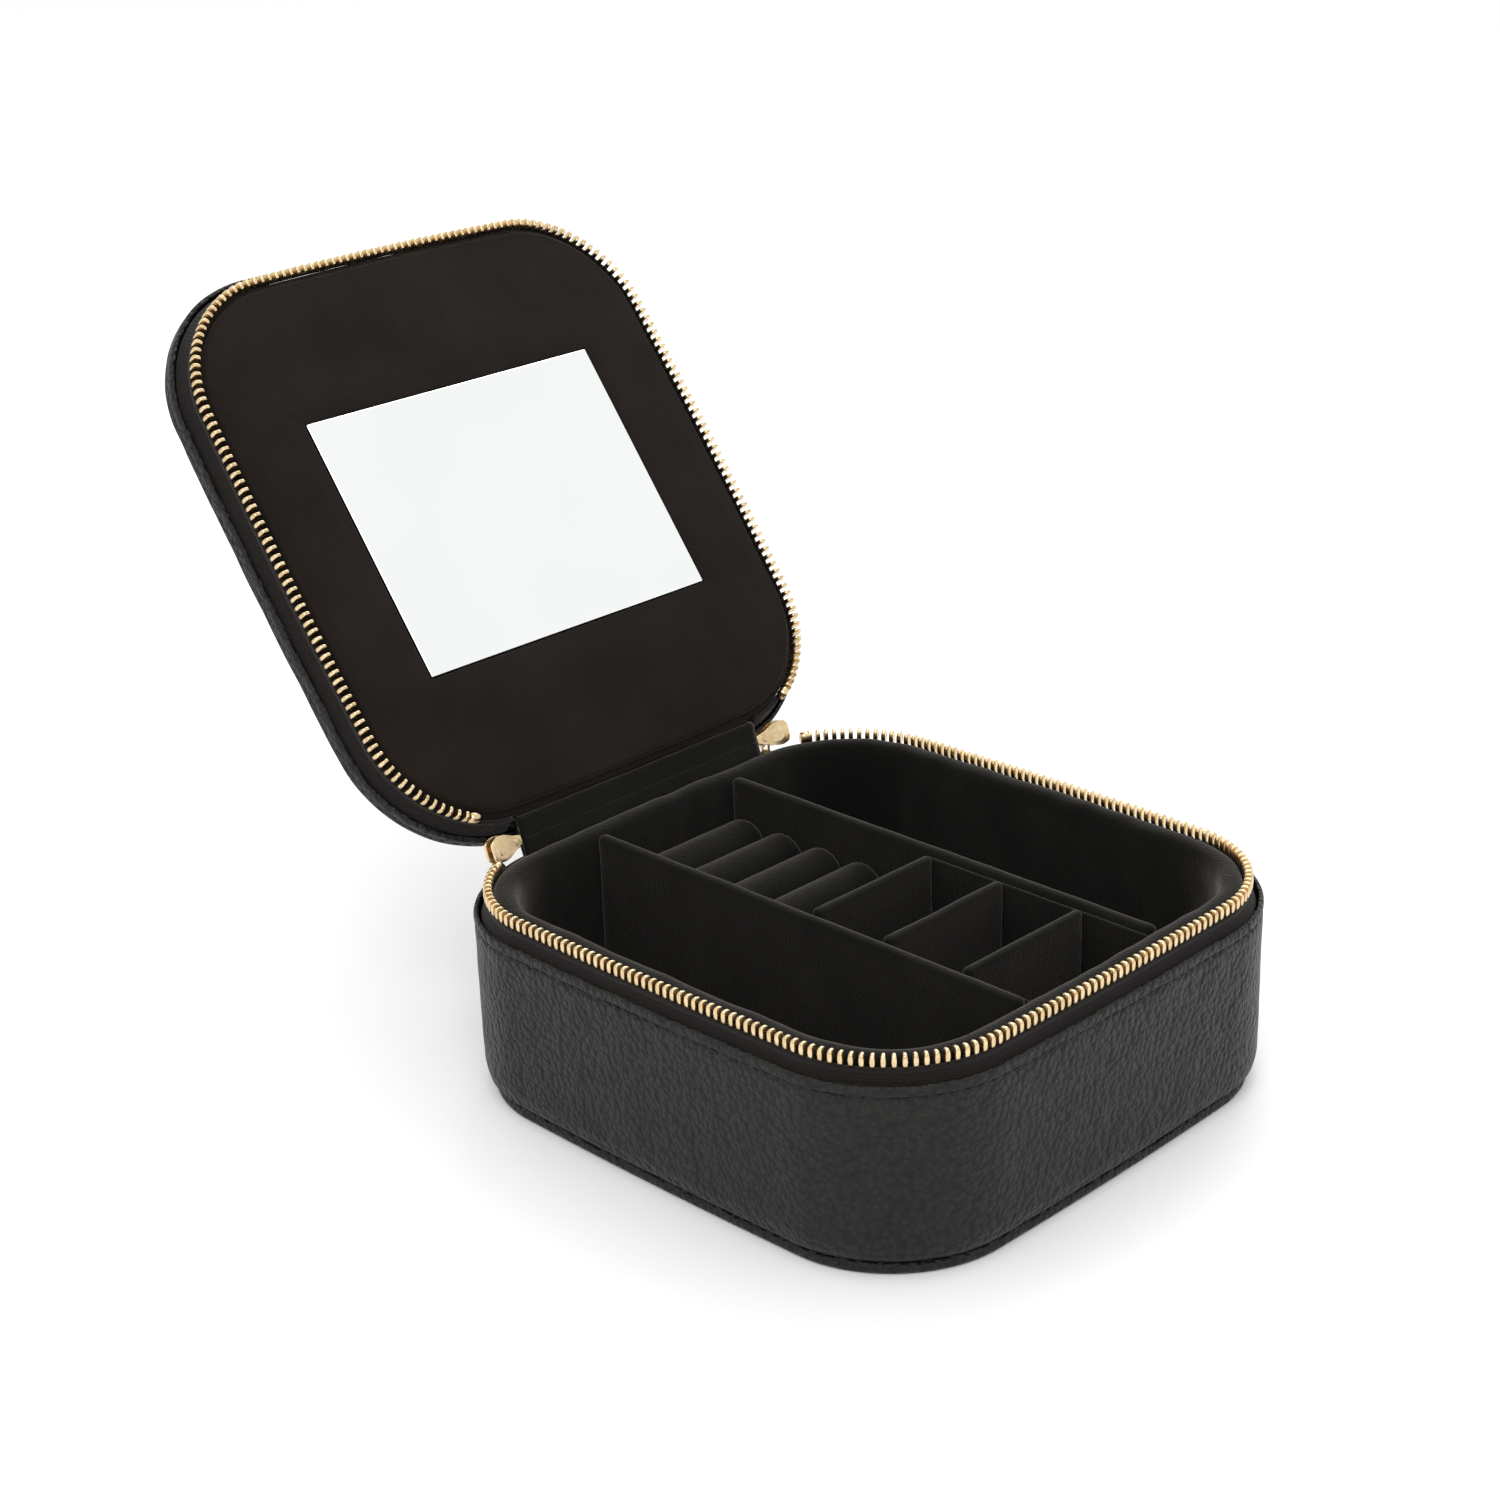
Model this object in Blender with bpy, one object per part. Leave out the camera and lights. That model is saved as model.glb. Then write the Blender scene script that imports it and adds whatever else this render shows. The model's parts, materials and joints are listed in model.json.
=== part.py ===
"""Travel jewelry case: a soft leather zip case with a leaning lid, a mirror and a divided velvet tray.

Frame: the origin is the middle of the underside, +Z up, +X to the right, and the fabric spine of the lid at +Y.
Every part is drawn with the case closed. Two empties then lean the spine back and open the lid to its rest pose.
"""

import math

import bmesh
import bpy
from mathutils import Matrix, Vector

MM = 0.001
GAP = 0.3 * MM

# Line of the zip seen from above: a square with round corners and slightly bowed sides.
ZIP_WIDTH = 160.0 * MM
ZIP_DEPTH = 167.0 * MM
CORNER_RADIUS = 32.0 * MM
SIDE_BOW = 1.9 * MM
CORNER_STEPS = 8
SIDE_STEPS = 4

# Heights of the base, and depths of the lid measured up from the plane where the two rows of teeth meet.
RIM_Z = 59.5 * MM
LID_DEPTH = 15.4 * MM
TEETH_HALF = 1.3 * MM
TEETH_HEIGHT = 3.6 * MM
TEETH_START = 2
LEATHER_OUT = 4.0 * MM
LEATHER_EDGE = 9.3 * MM
LID_LEATHER_EDGE = 8.3 * MM
LEATHER_THICK = 1.3 * MM
PANEL_THICK = 3.6 * MM
LID_PANEL_THICK = 2.8 * MM
PANEL_OUT = 1.5 * MM
BOARD_THICK = 1.5 * MM
FLOOR_LINING = 1.0 * MM
CAVITY_IN = 8.0 * MM
LINING_THICK = 1.0 * MM
LINING_TOP = RIM_Z - 1.7 * MM
LINING_OUTER_IN = 0.8 * MM
LINING_SHOULDER = 3.2 * MM
LINING_SLOPE = 1.6 * MM
CORE_IN = 1.3 * MM
FOOT_CURL = 2.6 * MM
LID_FOOT_CURL = 1.1 * MM
BASE_TAPE_FOOT = 11.8 * MM
LID_TAPE_FOOT = 10.8 * MM
BOARD_OUT = 1.0 * MM
BOARD_DROP = 3.5 * MM

# The spine: a flat strip between two creases, and how far it leans and the lid opens at rest.
CREASE_OUT = 0.5 * MM
CREASE_DROP = 4.95 * MM
SPINE_LENGTH = 2 * CREASE_DROP + GAP
SPINE_HALF_WIDTH = 44.5 * MM
SPINE_LEAN = math.radians(19.5)
LID_OPEN = math.radians(126.7)

# Tray.
DIVIDER_X = 26.2 * MM
DIVIDER_THICK = 3.6 * MM
DIVIDER_TOP = RIM_Z - 1.9 * MM
CELL_LINER_THICK = 1.2 * MM
CELL_LINER_TOP = RIM_Z - 3.6 * MM
CROSS_Y = (-2.5 * MM, -27.2 * MM, -53.6 * MM)
CROSS_THICK = 3.0 * MM
CROSS_TOP = RIM_Z - 2.4 * MM
ROLL_COUNT = 5
ROLL_TOP = RIM_Z - 12.0 * MM

# Lid inside.
MIRROR_WIDTH = 103.6 * MM
MIRROR_HEIGHT = 78.4 * MM
MIRROR_CORNER = 1.2 * MM
BACKING_MARGIN = 5.0 * MM
BACKING_CORNER = 3.0 * MM
BACKING_THICK = 1.0 * MM
LID_LINING_IN = 2.6 * MM
LID_LINING_FACE = 1.6 * MM
LID_LINING_THICK = 2.0 * MM

# Sliders and pulls.
SLIDER_X = 52.0 * MM
SLIDER_TURN = math.radians(9.0)
SLIDER_HALF_LENGTH = 5.8 * MM
SLIDER_HALF_HEIGHT = 3.7 * MM
SLIDER_PLATE = 0.8 * MM
SLIDER_CORE = 1.8 * MM
BRIDGE_OUT = 3.8 * MM
BRIDGE_ALONG = 2.6 * MM
BRIDGE_RADIUS = 0.55 * MM
LINK_HALF_WIDTH = 1.35 * MM
LINK_WIRE = 0.42 * MM
LINK_LENGTH = 5.2 * MM
TAB_LENGTH = 22.0 * MM
TAB_WIDTH = 6.0 * MM
TAB_THICK = 1.1 * MM
TAB_HOLE = 1.4 * MM
TAB_HEAD = 2.6 * MM
EYE_PLAY = 0.2 * MM

LID_Z = RIM_Z + GAP
BACK_Y = ZIP_DEPTH / 2
CREASE_Y = BACK_Y + CREASE_OUT
CREASE_BASE = Vector((0, CREASE_Y, RIM_Z - CREASE_DROP))
CREASE_LID = Vector((0, CREASE_Y, LID_Z + CREASE_DROP))


def clear_scene():
    for item in list(bpy.data.objects):
        bpy.data.objects.remove(item, do_unlink=True)


def make_material(name, color, roughness, metallic=0.0):
    material = bpy.data.materials.new(name)
    material.use_nodes = True
    shader = material.node_tree.nodes["Principled BSDF"]
    shader.inputs["Base Color"].default_value = (*color, 1.0)
    shader.inputs["Roughness"].default_value = roughness
    shader.inputs["Metallic"].default_value = metallic
    return material


# Outlines -----------------------------------------------------------------------------------------------------------


def zip_line():
    """Points of the zip line, counter-clockwise from the start of the back right corner's arc."""
    half_x = ZIP_WIDTH / 2 - SIDE_BOW
    half_y = ZIP_DEPTH / 2 - SIDE_BOW
    points = []
    for sign_x, sign_y, quarter in ((1, -1, 3), (1, 1, 0), (-1, 1, 1), (-1, -1, 2)):
        centre = Vector((sign_x * (half_x - CORNER_RADIUS), sign_y * (half_y - CORNER_RADIUS)))
        for step in range(CORNER_STEPS + 1):
            angle = (quarter + step / CORNER_STEPS) * math.pi / 2
            points.append(centre + CORNER_RADIUS * Vector((math.cos(angle), math.sin(angle))))
        start = points[-1]
        next_x, next_y = ((1, 1), (-1, 1), (-1, -1), (1, -1))[(quarter + 1) % 4]
        towards = Vector((next_x * (half_x - CORNER_RADIUS), next_y * (half_y - CORNER_RADIUS)))
        turn = (quarter + 1) * math.pi / 2
        end = towards + CORNER_RADIUS * Vector((math.cos(turn), math.sin(turn)))
        points += [start.lerp(end, step / SIDE_STEPS) for step in range(1, SIDE_STEPS)]
    bowed = []
    for p in points:
        across, along = p.x / half_x, p.y / half_y
        bowed.append(Vector((p.x + SIDE_BOW * across * (1 - along**2), p.y + SIDE_BOW * along * (1 - across**2))))
    return bowed


def outline(offset):
    """The zip line moved outwards by offset."""
    points = zip_line()
    moved = []
    for index, p in enumerate(points):
        tangent = points[(index + 1) % len(points)] - points[index - 1]
        normal = Vector((tangent.y, -tangent.x)).normalized()
        moved.append(p + normal * offset)
    return moved


def zip_run(first):
    """The zip line without its back side: from the back left corner, round the front, to the back right one."""
    points = zip_line()
    corner = CORNER_STEPS + 1
    side = SIDE_STEPS - 1
    right_end = corner + side + corner - 1
    left_start = right_end + side + 1
    run = points[left_start + first :] + points[: right_end + 1 - first]
    return run


def rounded_box(half_x, half_y, radius, steps=3):
    points = []
    for quarter, (sign_x, sign_y) in enumerate(((1, 1), (-1, 1), (-1, -1), (1, -1))):
        centre = Vector((sign_x * (half_x - radius), sign_y * (half_y - radius)))
        for step in range(steps + 1):
            angle = (quarter + step / steps) * math.pi / 2
            points.append(centre + radius * Vector((math.cos(angle), math.sin(angle))))
    return points


# Solids -------------------------------------------------------------------------------------------------------------


def poly_curve(name, loops, closed=True, flat=True):
    curve = bpy.data.curves.new(name, "CURVE")
    curve.dimensions = "2D" if flat else "3D"
    for loop in loops:
        spline = curve.splines.new("POLY")
        spline.points.add(len(loop) - 1)
        for point, place in zip(spline.points, loop):
            point.co = (*Vector(place).to_3d(), 1.0)
        spline.use_cyclic_u = closed
    return curve


def to_mesh(name, curve, guides=()):
    """The curve's evaluated surface as a welded mesh with its faces pointing out."""
    holder = bpy.data.objects.new(name, curve)
    bpy.context.scene.collection.objects.link(holder)
    evaluated = holder.evaluated_get(bpy.context.evaluated_depsgraph_get())
    mesh = bpy.data.meshes.new_from_object(evaluated)
    mesh.name = name
    for item in (holder, *guides):
        data = item.data
        bpy.data.objects.remove(item, do_unlink=True)
        bpy.data.curves.remove(data)
    tidy_mesh(mesh)
    return mesh


def tidy_mesh(mesh):
    work = bmesh.new()
    work.from_mesh(mesh)
    bmesh.ops.remove_doubles(work, verts=work.verts, dist=0.00002)
    bmesh.ops.recalc_face_normals(work, faces=work.faces)
    work.to_mesh(mesh)
    work.free()


def plate(name, loops, bottom, top):
    """A flat outline, with holes if it has more than one loop, filled from bottom to top."""
    curve = poly_curve(name, loops)
    curve.fill_mode = "BOTH"
    curve.extrude = (top - bottom) / 2
    mesh = to_mesh(name, curve)
    mesh.transform(Matrix.Translation((0, 0, (top + bottom) / 2)))
    return mesh


def sweep(name, path, profile, closed):
    """A closed profile of (outwards, up) points carried along a level path, whose closed form sweeps mirrored."""
    side = -1 if closed else 1
    placed = [(side * out, up) for out, up in profile]
    section = bpy.data.objects.new(name + "_section", poly_curve(name + "_section", [placed]))
    bpy.context.scene.collection.objects.link(section)
    curve = poly_curve(name, [path], closed=closed)
    curve.bevel_mode = "OBJECT"
    curve.bevel_object = section
    curve.use_fill_caps = not closed
    return to_mesh(name, curve, (section,))


def ring(name, profile):
    return sweep(name, zip_line(), profile, True)


def strip(name, profile, half_width=SPINE_HALF_WIDTH):
    """A profile of (outwards, up) points carried straight across the back of the case."""
    path = [Vector((half_width, BACK_Y)), Vector((-half_width, BACK_Y))]
    return sweep(name, path, profile, False)


def box(name, low, high, bevel=0.0):
    mesh = bpy.data.meshes.new(name)
    work = bmesh.new()
    bmesh.ops.create_cube(work, size=1.0)
    low, high = Vector(low), Vector(high)
    size = high - low
    bmesh.ops.scale(work, vec=size, verts=work.verts)
    bmesh.ops.translate(work, vec=(low + high) / 2, verts=work.verts)
    if bevel:
        edges = [edge for edge in work.edges if min(v.co.z for v in edge.verts) > high.z - 1e-6]
        bmesh.ops.bevel(work, geom=edges, offset=bevel, segments=3, affect="EDGES", profile=0.5)
    work.to_mesh(mesh)
    work.free()
    return mesh


def flipped(mesh, plane_z):
    """Turns a mesh drawn upwards from the teeth plane into one drawn downwards from plane_z."""
    mesh.transform(Matrix.Translation((0, 0, plane_z)) @ Matrix.Diagonal((1, 1, -1, 1)))
    mesh.flip_normals()
    return mesh


# Profiles shared by base and lid, as (outwards, away from the teeth plane) points --------------------------------------


def teeth_profile():
    crown = 0.9 * MM
    return [
        (-TEETH_HALF, TEETH_HEIGHT),
        (-TEETH_HALF, crown),
        (-TEETH_HALF * 0.55, 0.0),
        (TEETH_HALF * 0.55, 0.0),
        (TEETH_HALF, crown),
        (TEETH_HALF, TEETH_HEIGHT),
    ]


def tape_profile(foot):
    top = TEETH_HEIGHT + GAP
    half = 0.4 * MM
    knee_out, knee_drop = 1.6 * MM, 8.6 * MM
    foot_out = 1.8 * MM
    return [
        (-half, top),
        (half, top),
        (knee_out + half, knee_drop),
        (foot_out + half, foot),
        (foot_out - half, foot),
        (knee_out - half, knee_drop),
    ]


def wall_profile(edge, foot, curl):
    """The leather side: a turned edge, a flat side, and a foot that curls inwards by curl."""
    out, thick = LEATHER_OUT, LEATHER_THICK
    turned = 0.5 * MM
    return [
        (out - thick, edge + turned),
        (out - thick * 0.75, edge),
        (out - thick * 0.3, edge),
        (out, edge + turned),
        (out, foot - 2.4 * curl),
        (out - 0.16 * curl, foot - 1.2 * curl),
        (out - 0.5 * curl, foot - 0.4 * curl),
        (out - curl, foot),
        (out - curl - 0.6 * thick, foot - thick * 0.8),
        (out - thick - 0.4 * curl, foot - 0.4 * curl - thick),
        (out - thick, foot - 2.4 * curl),
    ]


def hinge_profile(edge):
    """The strip that carries on from behind the leather edge to the crease beside the spine."""
    half = 0.3 * MM
    top = CREASE_DROP + 1.0 * MM
    foot = edge + 1.4 * MM
    return [
        (CREASE_OUT - half, top),
        (CREASE_OUT + half, top),
        (1.7 * MM, edge - 0.4 * MM),
        (1.8 * MM, foot),
        (1.0 * MM, foot),
        (0.9 * MM, edge),
    ]


# Base ---------------------------------------------------------------------------------------------------------------


def base_parts():
    floor_top = PANEL_THICK + GAP + BOARD_THICK
    lining_floor = floor_top + GAP + FLOOR_LINING
    wall_foot = floor_top + GAP
    wall_drop = RIM_Z - PANEL_THICK - GAP
    inner, outer = -CAVITY_IN, -LINING_OUTER_IN
    shoulder = LINING_SHOULDER
    top, thick = LINING_TOP, LINING_THICK
    lining = [
        (inner, wall_foot),
        (inner + thick, wall_foot),
        (inner + thick, top - shoulder),
        (inner + shoulder, top - thick),
        (outer - shoulder * 0.7, top - thick),
        (outer - thick, top - shoulder),
        (outer - thick, top - 2.2 * shoulder),
        (outer, top - 2.2 * shoulder),
        (outer, top - shoulder),
        (outer - 0.3 * shoulder, top - 0.3 * shoulder),
        (outer - 0.8 * shoulder, top),
        (inner + shoulder, top),
        (inner + 0.3 * shoulder, top - 0.3 * shoulder),
        (inner, top - shoulder),
    ]
    foam_in = inner + thick + GAP
    foam_out = outer - thick - GAP
    foam = [
        (foam_in, wall_foot),
        (foam_out, wall_foot),
        (foam_out, top - shoulder - GAP),
        (foam_out - 0.4 * shoulder, top - thick - LINING_SLOPE),
        (foam_in + 0.8 * shoulder, top - thick - LINING_SLOPE),
        (foam_in, top - shoulder - GAP),
    ]
    board_in = outer + GAP
    board_top = RIM_Z - LEATHER_EDGE - BOARD_DROP
    board = [(board_in, wall_foot), (BOARD_OUT, wall_foot), (BOARD_OUT, board_top), (board_in, board_top)]
    wall = wall_profile(LEATHER_EDGE, wall_drop, FOOT_CURL)
    tape = tape_profile(BASE_TAPE_FOOT)
    parts = {
        "base_bottom_panel": (plate("base_bottom_panel", [outline(PANEL_OUT)], 0, PANEL_THICK), "leather"),
        "base_floor_board": (
            plate("base_floor_board", [outline(-CORE_IN)], PANEL_THICK + GAP, floor_top),
            "board",
        ),
        "base_floor_lining": (
            plate("base_floor_lining", [outline(inner - GAP)], floor_top + GAP, lining_floor),
            "velvet",
        ),
        "base_leather_wall": (flipped(ring("base_leather_wall", wall), RIM_Z), "leather"),
        "base_wall_board": (ring("base_wall_board", board), "board"),
        "base_wall_foam": (ring("base_wall_foam", foam), "foam"),
        "base_wall_lining": (ring("base_wall_lining", lining), "velvet"),
        "base_zip_tape": (flipped(sweep("base_zip_tape", zip_run(0), tape, False), RIM_Z), "tape"),
        "base_zip_teeth": (
            flipped(sweep("base_zip_teeth", zip_run(TEETH_START), teeth_profile(), False), RIM_Z),
            "gold",
        ),
        "base_hinge_strip": (flipped(strip("base_hinge_strip", hinge_profile(LEATHER_EDGE)), RIM_Z), "leather"),
    }
    parts.update(tray_parts(lining_floor + GAP))
    return parts


def tray_parts(floor):
    parts = {}
    reach = BACK_Y - CAVITY_IN - 2 * GAP
    rounding = 1.4 * MM
    inner = DIVIDER_X - DIVIDER_THICK / 2
    for side, sign in (("left", -1), ("right", 1)):
        near, far = sorted((sign * (DIVIDER_X - DIVIDER_THICK / 2), sign * (DIVIDER_X + DIVIDER_THICK / 2)))
        name = f"divider_{side}"
        parts[name] = (box(name, (near, -reach, floor), (far, reach, DIVIDER_TOP), rounding), "velvet")
        near, far = sorted((sign * (inner - GAP), sign * (inner - GAP - CELL_LINER_THICK)))
        name = f"cell_liner_{side}"
        liner_back = CROSS_Y[0] + CROSS_THICK / 2
        parts[name] = (box(name, (near, -reach, floor), (far, liner_back, CELL_LINER_TOP), 0.4 * MM), "velvet")
    half = inner - 2 * GAP - CELL_LINER_THICK
    for number, middle in enumerate(CROSS_Y, 1):
        name = f"cross_divider_{number}"
        low = (-half, middle - CROSS_THICK / 2, floor)
        high = (half, middle + CROSS_THICK / 2, CROSS_TOP)
        parts[name] = (box(name, low, high, 1.2 * MM), "velvet")
    tray_front = CROSS_Y[0] + CROSS_THICK / 2 + GAP
    pitch = (reach - tray_front) / ROLL_COUNT
    radius = pitch / 2 - GAP / 2
    length = 2 * (inner - GAP)
    for number in range(1, ROLL_COUNT + 1):
        name = f"ring_roll_{number}"
        middle = Vector((0, reach - pitch * (number - 0.5), ROLL_TOP - radius))
        parts[name] = (roll(name, middle, radius, length), "velvet")
    roll_floor = ROLL_TOP - 2 * radius - GAP
    low = (-length / 2, tray_front, floor)
    high = (length / 2, reach, roll_floor)
    parts["ring_roll_base"] = (box("ring_roll_base", low, high), "velvet")
    return parts


def roll(name, middle, radius, length):
    """A padded roll along X with rounded ends."""
    mesh = bpy.data.meshes.new(name)
    work = bmesh.new()
    bmesh.ops.create_cone(work, cap_ends=True, segments=20, radius1=radius, radius2=radius, depth=length)
    ends = [edge for edge in work.edges if abs(edge.verts[0].co.z - edge.verts[1].co.z) < 1e-7]
    bmesh.ops.bevel(work, geom=ends, offset=1.6 * MM, segments=2, affect="EDGES", profile=0.5)
    work.to_mesh(mesh)
    work.free()
    mesh.transform(Matrix.Translation(middle) @ Matrix.Rotation(math.pi / 2, 4, "Y"))
    return mesh


# Lid ----------------------------------------------------------------------------------------------------------------


def lid_parts():
    panel_bottom = LID_DEPTH - LID_PANEL_THICK
    board_bottom = panel_bottom - GAP - BOARD_THICK
    lining_back = LID_LINING_FACE + LID_LINING_THICK
    backing_back = lining_back + GAP + BACKING_THICK
    side_board = [
        (-0.9 * MM, lining_back + 2.2 * MM),
        (0.6 * MM, lining_back + 5.2 * MM),
        (0.9 * MM, board_bottom + BOARD_THICK),
        (-0.9 * MM, board_bottom + BOARD_THICK),
    ]
    window = rounded_box(MIRROR_WIDTH / 2 + GAP, MIRROR_HEIGHT / 2 + GAP, MIRROR_CORNER + GAP)
    glass = rounded_box(MIRROR_WIDTH / 2, MIRROR_HEIGHT / 2, MIRROR_CORNER)
    backing = rounded_box(
        MIRROR_WIDTH / 2 + BACKING_MARGIN, MIRROR_HEIGHT / 2 + BACKING_MARGIN, BACKING_CORNER
    )
    face = [outline(-LID_LINING_IN), window]
    front = LID_LINING_FACE - GAP
    wall = wall_profile(LID_LEATHER_EDGE, panel_bottom - GAP, LID_FOOT_CURL)
    tape = tape_profile(LID_TAPE_FOOT)
    parts = {
        "lid_outer_panel": (plate("lid_outer_panel", [outline(PANEL_OUT)], panel_bottom, LID_DEPTH), "leather"),
        "lid_core_board": (
            plate("lid_core_board", [outline(-CORE_IN)], board_bottom, board_bottom + BOARD_THICK),
            "board",
        ),
        "lid_foam": (plate("lid_foam", [outline(-CORE_IN)], backing_back + GAP, board_bottom - GAP), "foam"),
        "lid_lining_panel": (plate("lid_lining_panel", face, LID_LINING_FACE, lining_back), "velvet_lid"),
        "mirror_glass": (plate("mirror_glass", [glass], front, lining_back - GAP), "mirror"),
        "mirror_backing": (plate("mirror_backing", [backing], lining_back + GAP, backing_back), "board"),
        "lid_leather_wall": (ring("lid_leather_wall", wall), "leather"),
        "lid_wall_board": (ring("lid_wall_board", side_board), "board"),
        "lid_zip_tape": (sweep("lid_zip_tape", zip_run(0), tape, False), "tape"),
        "lid_zip_teeth": (sweep("lid_zip_teeth", zip_run(TEETH_START), teeth_profile(), False), "gold"),
        "lid_hinge_strip": (strip("lid_hinge_strip", hinge_profile(LID_LEATHER_EDGE)), "leather"),
    }
    for mesh, _ in parts.values():
        mesh.transform(Matrix.Translation((0, 0, LID_Z)))
    return parts


# Spine, sliders and pulls -------------------------------------------------------------------------------------------


def spine_parts():
    def layer(name, near, far, short):
        low, high = CREASE_BASE.z + short, CREASE_LID.z - short
        inside, outside = CREASE_OUT + near, CREASE_OUT + far
        return strip(name, [(inside, low), (outside, low), (outside, high), (inside, high)])

    parts = {
        "spine_leather": (layer("spine_leather", 0.15 * MM, 1.15 * MM, 1.4 * MM), "leather"),
        "spine_lining": (layer("spine_lining", -0.85 * MM, -0.15 * MM, 0.3 * MM), "velvet"),
    }
    for side, sign in (("left", -1), ("right", 1)):
        parts[f"slider_{side}"] = (slider(f"slider_{side}", sign), "gold")
    return parts


def slider_outline():
    """The plate seen square on: narrow where the closed chain leaves it, wide over its two mouths."""
    length, height = SLIDER_HALF_LENGTH, SLIDER_HALF_HEIGHT
    return [
        (-length, -0.42 * height),
        (-0.5 * length, -0.52 * height),
        (0.1 * length, -0.92 * height),
        (0.6 * length, -height),
        (length, -0.72 * height),
        (length, 0.72 * height),
        (0.6 * length, height),
        (0.1 * length, 0.92 * height),
        (-0.5 * length, 0.52 * height),
        (-length, 0.42 * height),
    ]


def slider(name, sign):
    """Two plates, the wedge between them and the bridge that holds the pull, as one casting."""
    half = SLIDER_CORE / 2
    inner = plate(name + "_inner", [slider_outline()], -half - SLIDER_PLATE, -half)
    outer = plate(name + "_outer", [slider_outline()], half, half + SLIDER_PLATE)
    wedge_shape = rounded_box(1.9 * MM, 1.2 * MM, 0.9 * MM)
    wedge = plate(name + "_wedge", [wedge_shape], -half - SLIDER_PLATE / 2, half + SLIDER_PLATE / 2)
    wedge.transform(Matrix.Translation((0.3 * SLIDER_HALF_LENGTH, 0, 0)))
    reach, drop = 2.4 * MM, BRIDGE_ALONG - SPINE_LENGTH / 2
    foot, top = half + SLIDER_PLATE / 2, BRIDGE_OUT
    arch = [(-reach, drop, foot), (-reach, drop, top), (reach, drop, top), (reach, drop, foot)]
    curve = poly_curve(name + "_bridge", [arch], closed=False, flat=False)
    curve.bevel_depth = BRIDGE_RADIUS
    curve.bevel_resolution = 2
    curve.use_fill_caps = True
    bridge = to_mesh(name + "_bridge", curve)
    body = union(name, [outer, inner, wedge, bridge])
    outwards = Matrix(((sign, 0, 0, 0), (0, 0, 1, 0), (0, 1, 0, 0), (0, 0, 0, 1)))
    centre = Vector((sign * SLIDER_X, CREASE_Y, (CREASE_BASE.z + CREASE_LID.z) / 2))
    turn = Matrix.Rotation(-sign * SLIDER_TURN, 4, "Z")
    body.transform(Matrix.Translation(centre) @ turn @ outwards)
    if sign > 0:
        body.flip_normals()
    return body


def union(name, meshes):
    """One solid made from overlapping ones with Boolean modifiers."""
    items = [bpy.data.objects.new(f"{name}_{index}", mesh) for index, mesh in enumerate(meshes)]
    for item in items:
        bpy.context.scene.collection.objects.link(item)
    for item in items[1:]:
        modifier = items[0].modifiers.new("join", "BOOLEAN")
        modifier.operation = "UNION"
        modifier.solver = "EXACT"
        modifier.object = item
    evaluated = items[0].evaluated_get(bpy.context.evaluated_depsgraph_get())
    result = bpy.data.meshes.new_from_object(evaluated)
    result.name = name
    for item in items:
        mesh = item.data
        bpy.data.objects.remove(item, do_unlink=True)
        bpy.data.meshes.remove(mesh)
    return result


def bridge_place(sign):
    """The middle of a slider's bridge with the spine at rest, which is the pull's hinge."""
    along = Vector((0, math.sin(SPINE_LEAN), math.cos(SPINE_LEAN)))
    outwards = Vector((0, math.cos(SPINE_LEAN), -math.sin(SPINE_LEAN)))
    turned = Vector((sign * math.sin(SLIDER_TURN) * BRIDGE_OUT, 0, 0))
    reach = BRIDGE_OUT * math.cos(SLIDER_TURN)
    return CREASE_BASE + along * BRIDGE_ALONG + outwards * reach + turned + Vector((sign * SLIDER_X, 0, 0))


def pull_parts(side, sign):
    """A wire link round the bridge and the flat tab that hangs from it, drawn about the hinge."""
    top = BRIDGE_RADIUS + GAP + LINK_WIRE
    bottom = top - LINK_LENGTH
    half = LINK_HALF_WIDTH
    loop = []
    steps = 6
    for middle, start in ((top - half, 0.0), (bottom + half, math.pi)):
        for step in range(steps + 1):
            angle = start + math.pi * step / steps
            loop.append((0, half * math.cos(angle), middle + half * math.sin(angle)))
    curve = poly_curve(f"pull_link_{side}", [loop], flat=False)
    curve.bevel_depth = LINK_WIRE
    curve.bevel_resolution = 2
    link = to_mesh(f"pull_link_{side}", curve)
    outer = [Vector(point) for point in tab_outline(TAB_HEAD)]
    steps = 12
    turn = 2 * math.pi / steps
    hole = [TAB_HOLE * Vector((math.cos(turn * step), math.sin(turn * step))) for step in range(steps)]
    tab = plate(f"pull_tab_{side}", [outer, hole], -TAB_THICK / 2, TAB_THICK / 2)
    eye_z = bottom + LINK_WIRE + GAP + EYE_PLAY - TAB_HOLE
    tab.transform(Matrix.Translation((0, 0, eye_z)) @ Matrix.Rotation(math.pi / 2, 4, "X"))
    place = Matrix.Translation(bridge_place(sign))
    link.transform(place)
    tab.transform(place)
    return {f"pull_link_{side}": (link, "gold"), f"pull_tab_{side}": (tab, "gold")}


def tab_outline(head):
    """A tab that starts as a round eye and widens towards its rounded foot."""
    points = []
    steps = 6
    for step in range(steps + 1):
        angle = math.pi * step / steps
        points.append((head * math.cos(angle), head * math.sin(angle)))
    foot = -TAB_LENGTH + TAB_WIDTH / 2
    for step in range(steps + 1):
        angle = math.pi + math.pi * step / steps
        points.append((TAB_WIDTH / 2 * math.cos(angle), foot + TAB_WIDTH / 2 * math.sin(angle)))
    return points


# Assembly -----------------------------------------------------------------------------------------------------------


def add_parts(parts, materials, collection, parent=None, drawn_at=None):
    for name, (mesh, slot) in parts.items():
        if drawn_at:
            mesh.transform(Matrix.Translation(-drawn_at))
        mesh.materials.clear()
        mesh.materials.append(materials[slot])
        mesh.shade_smooth()
        mesh.set_sharp_from_angle(angle=math.radians(35))
        item = bpy.data.objects.new(name, mesh)
        collection.objects.link(item)
        item.parent = parent


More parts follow.
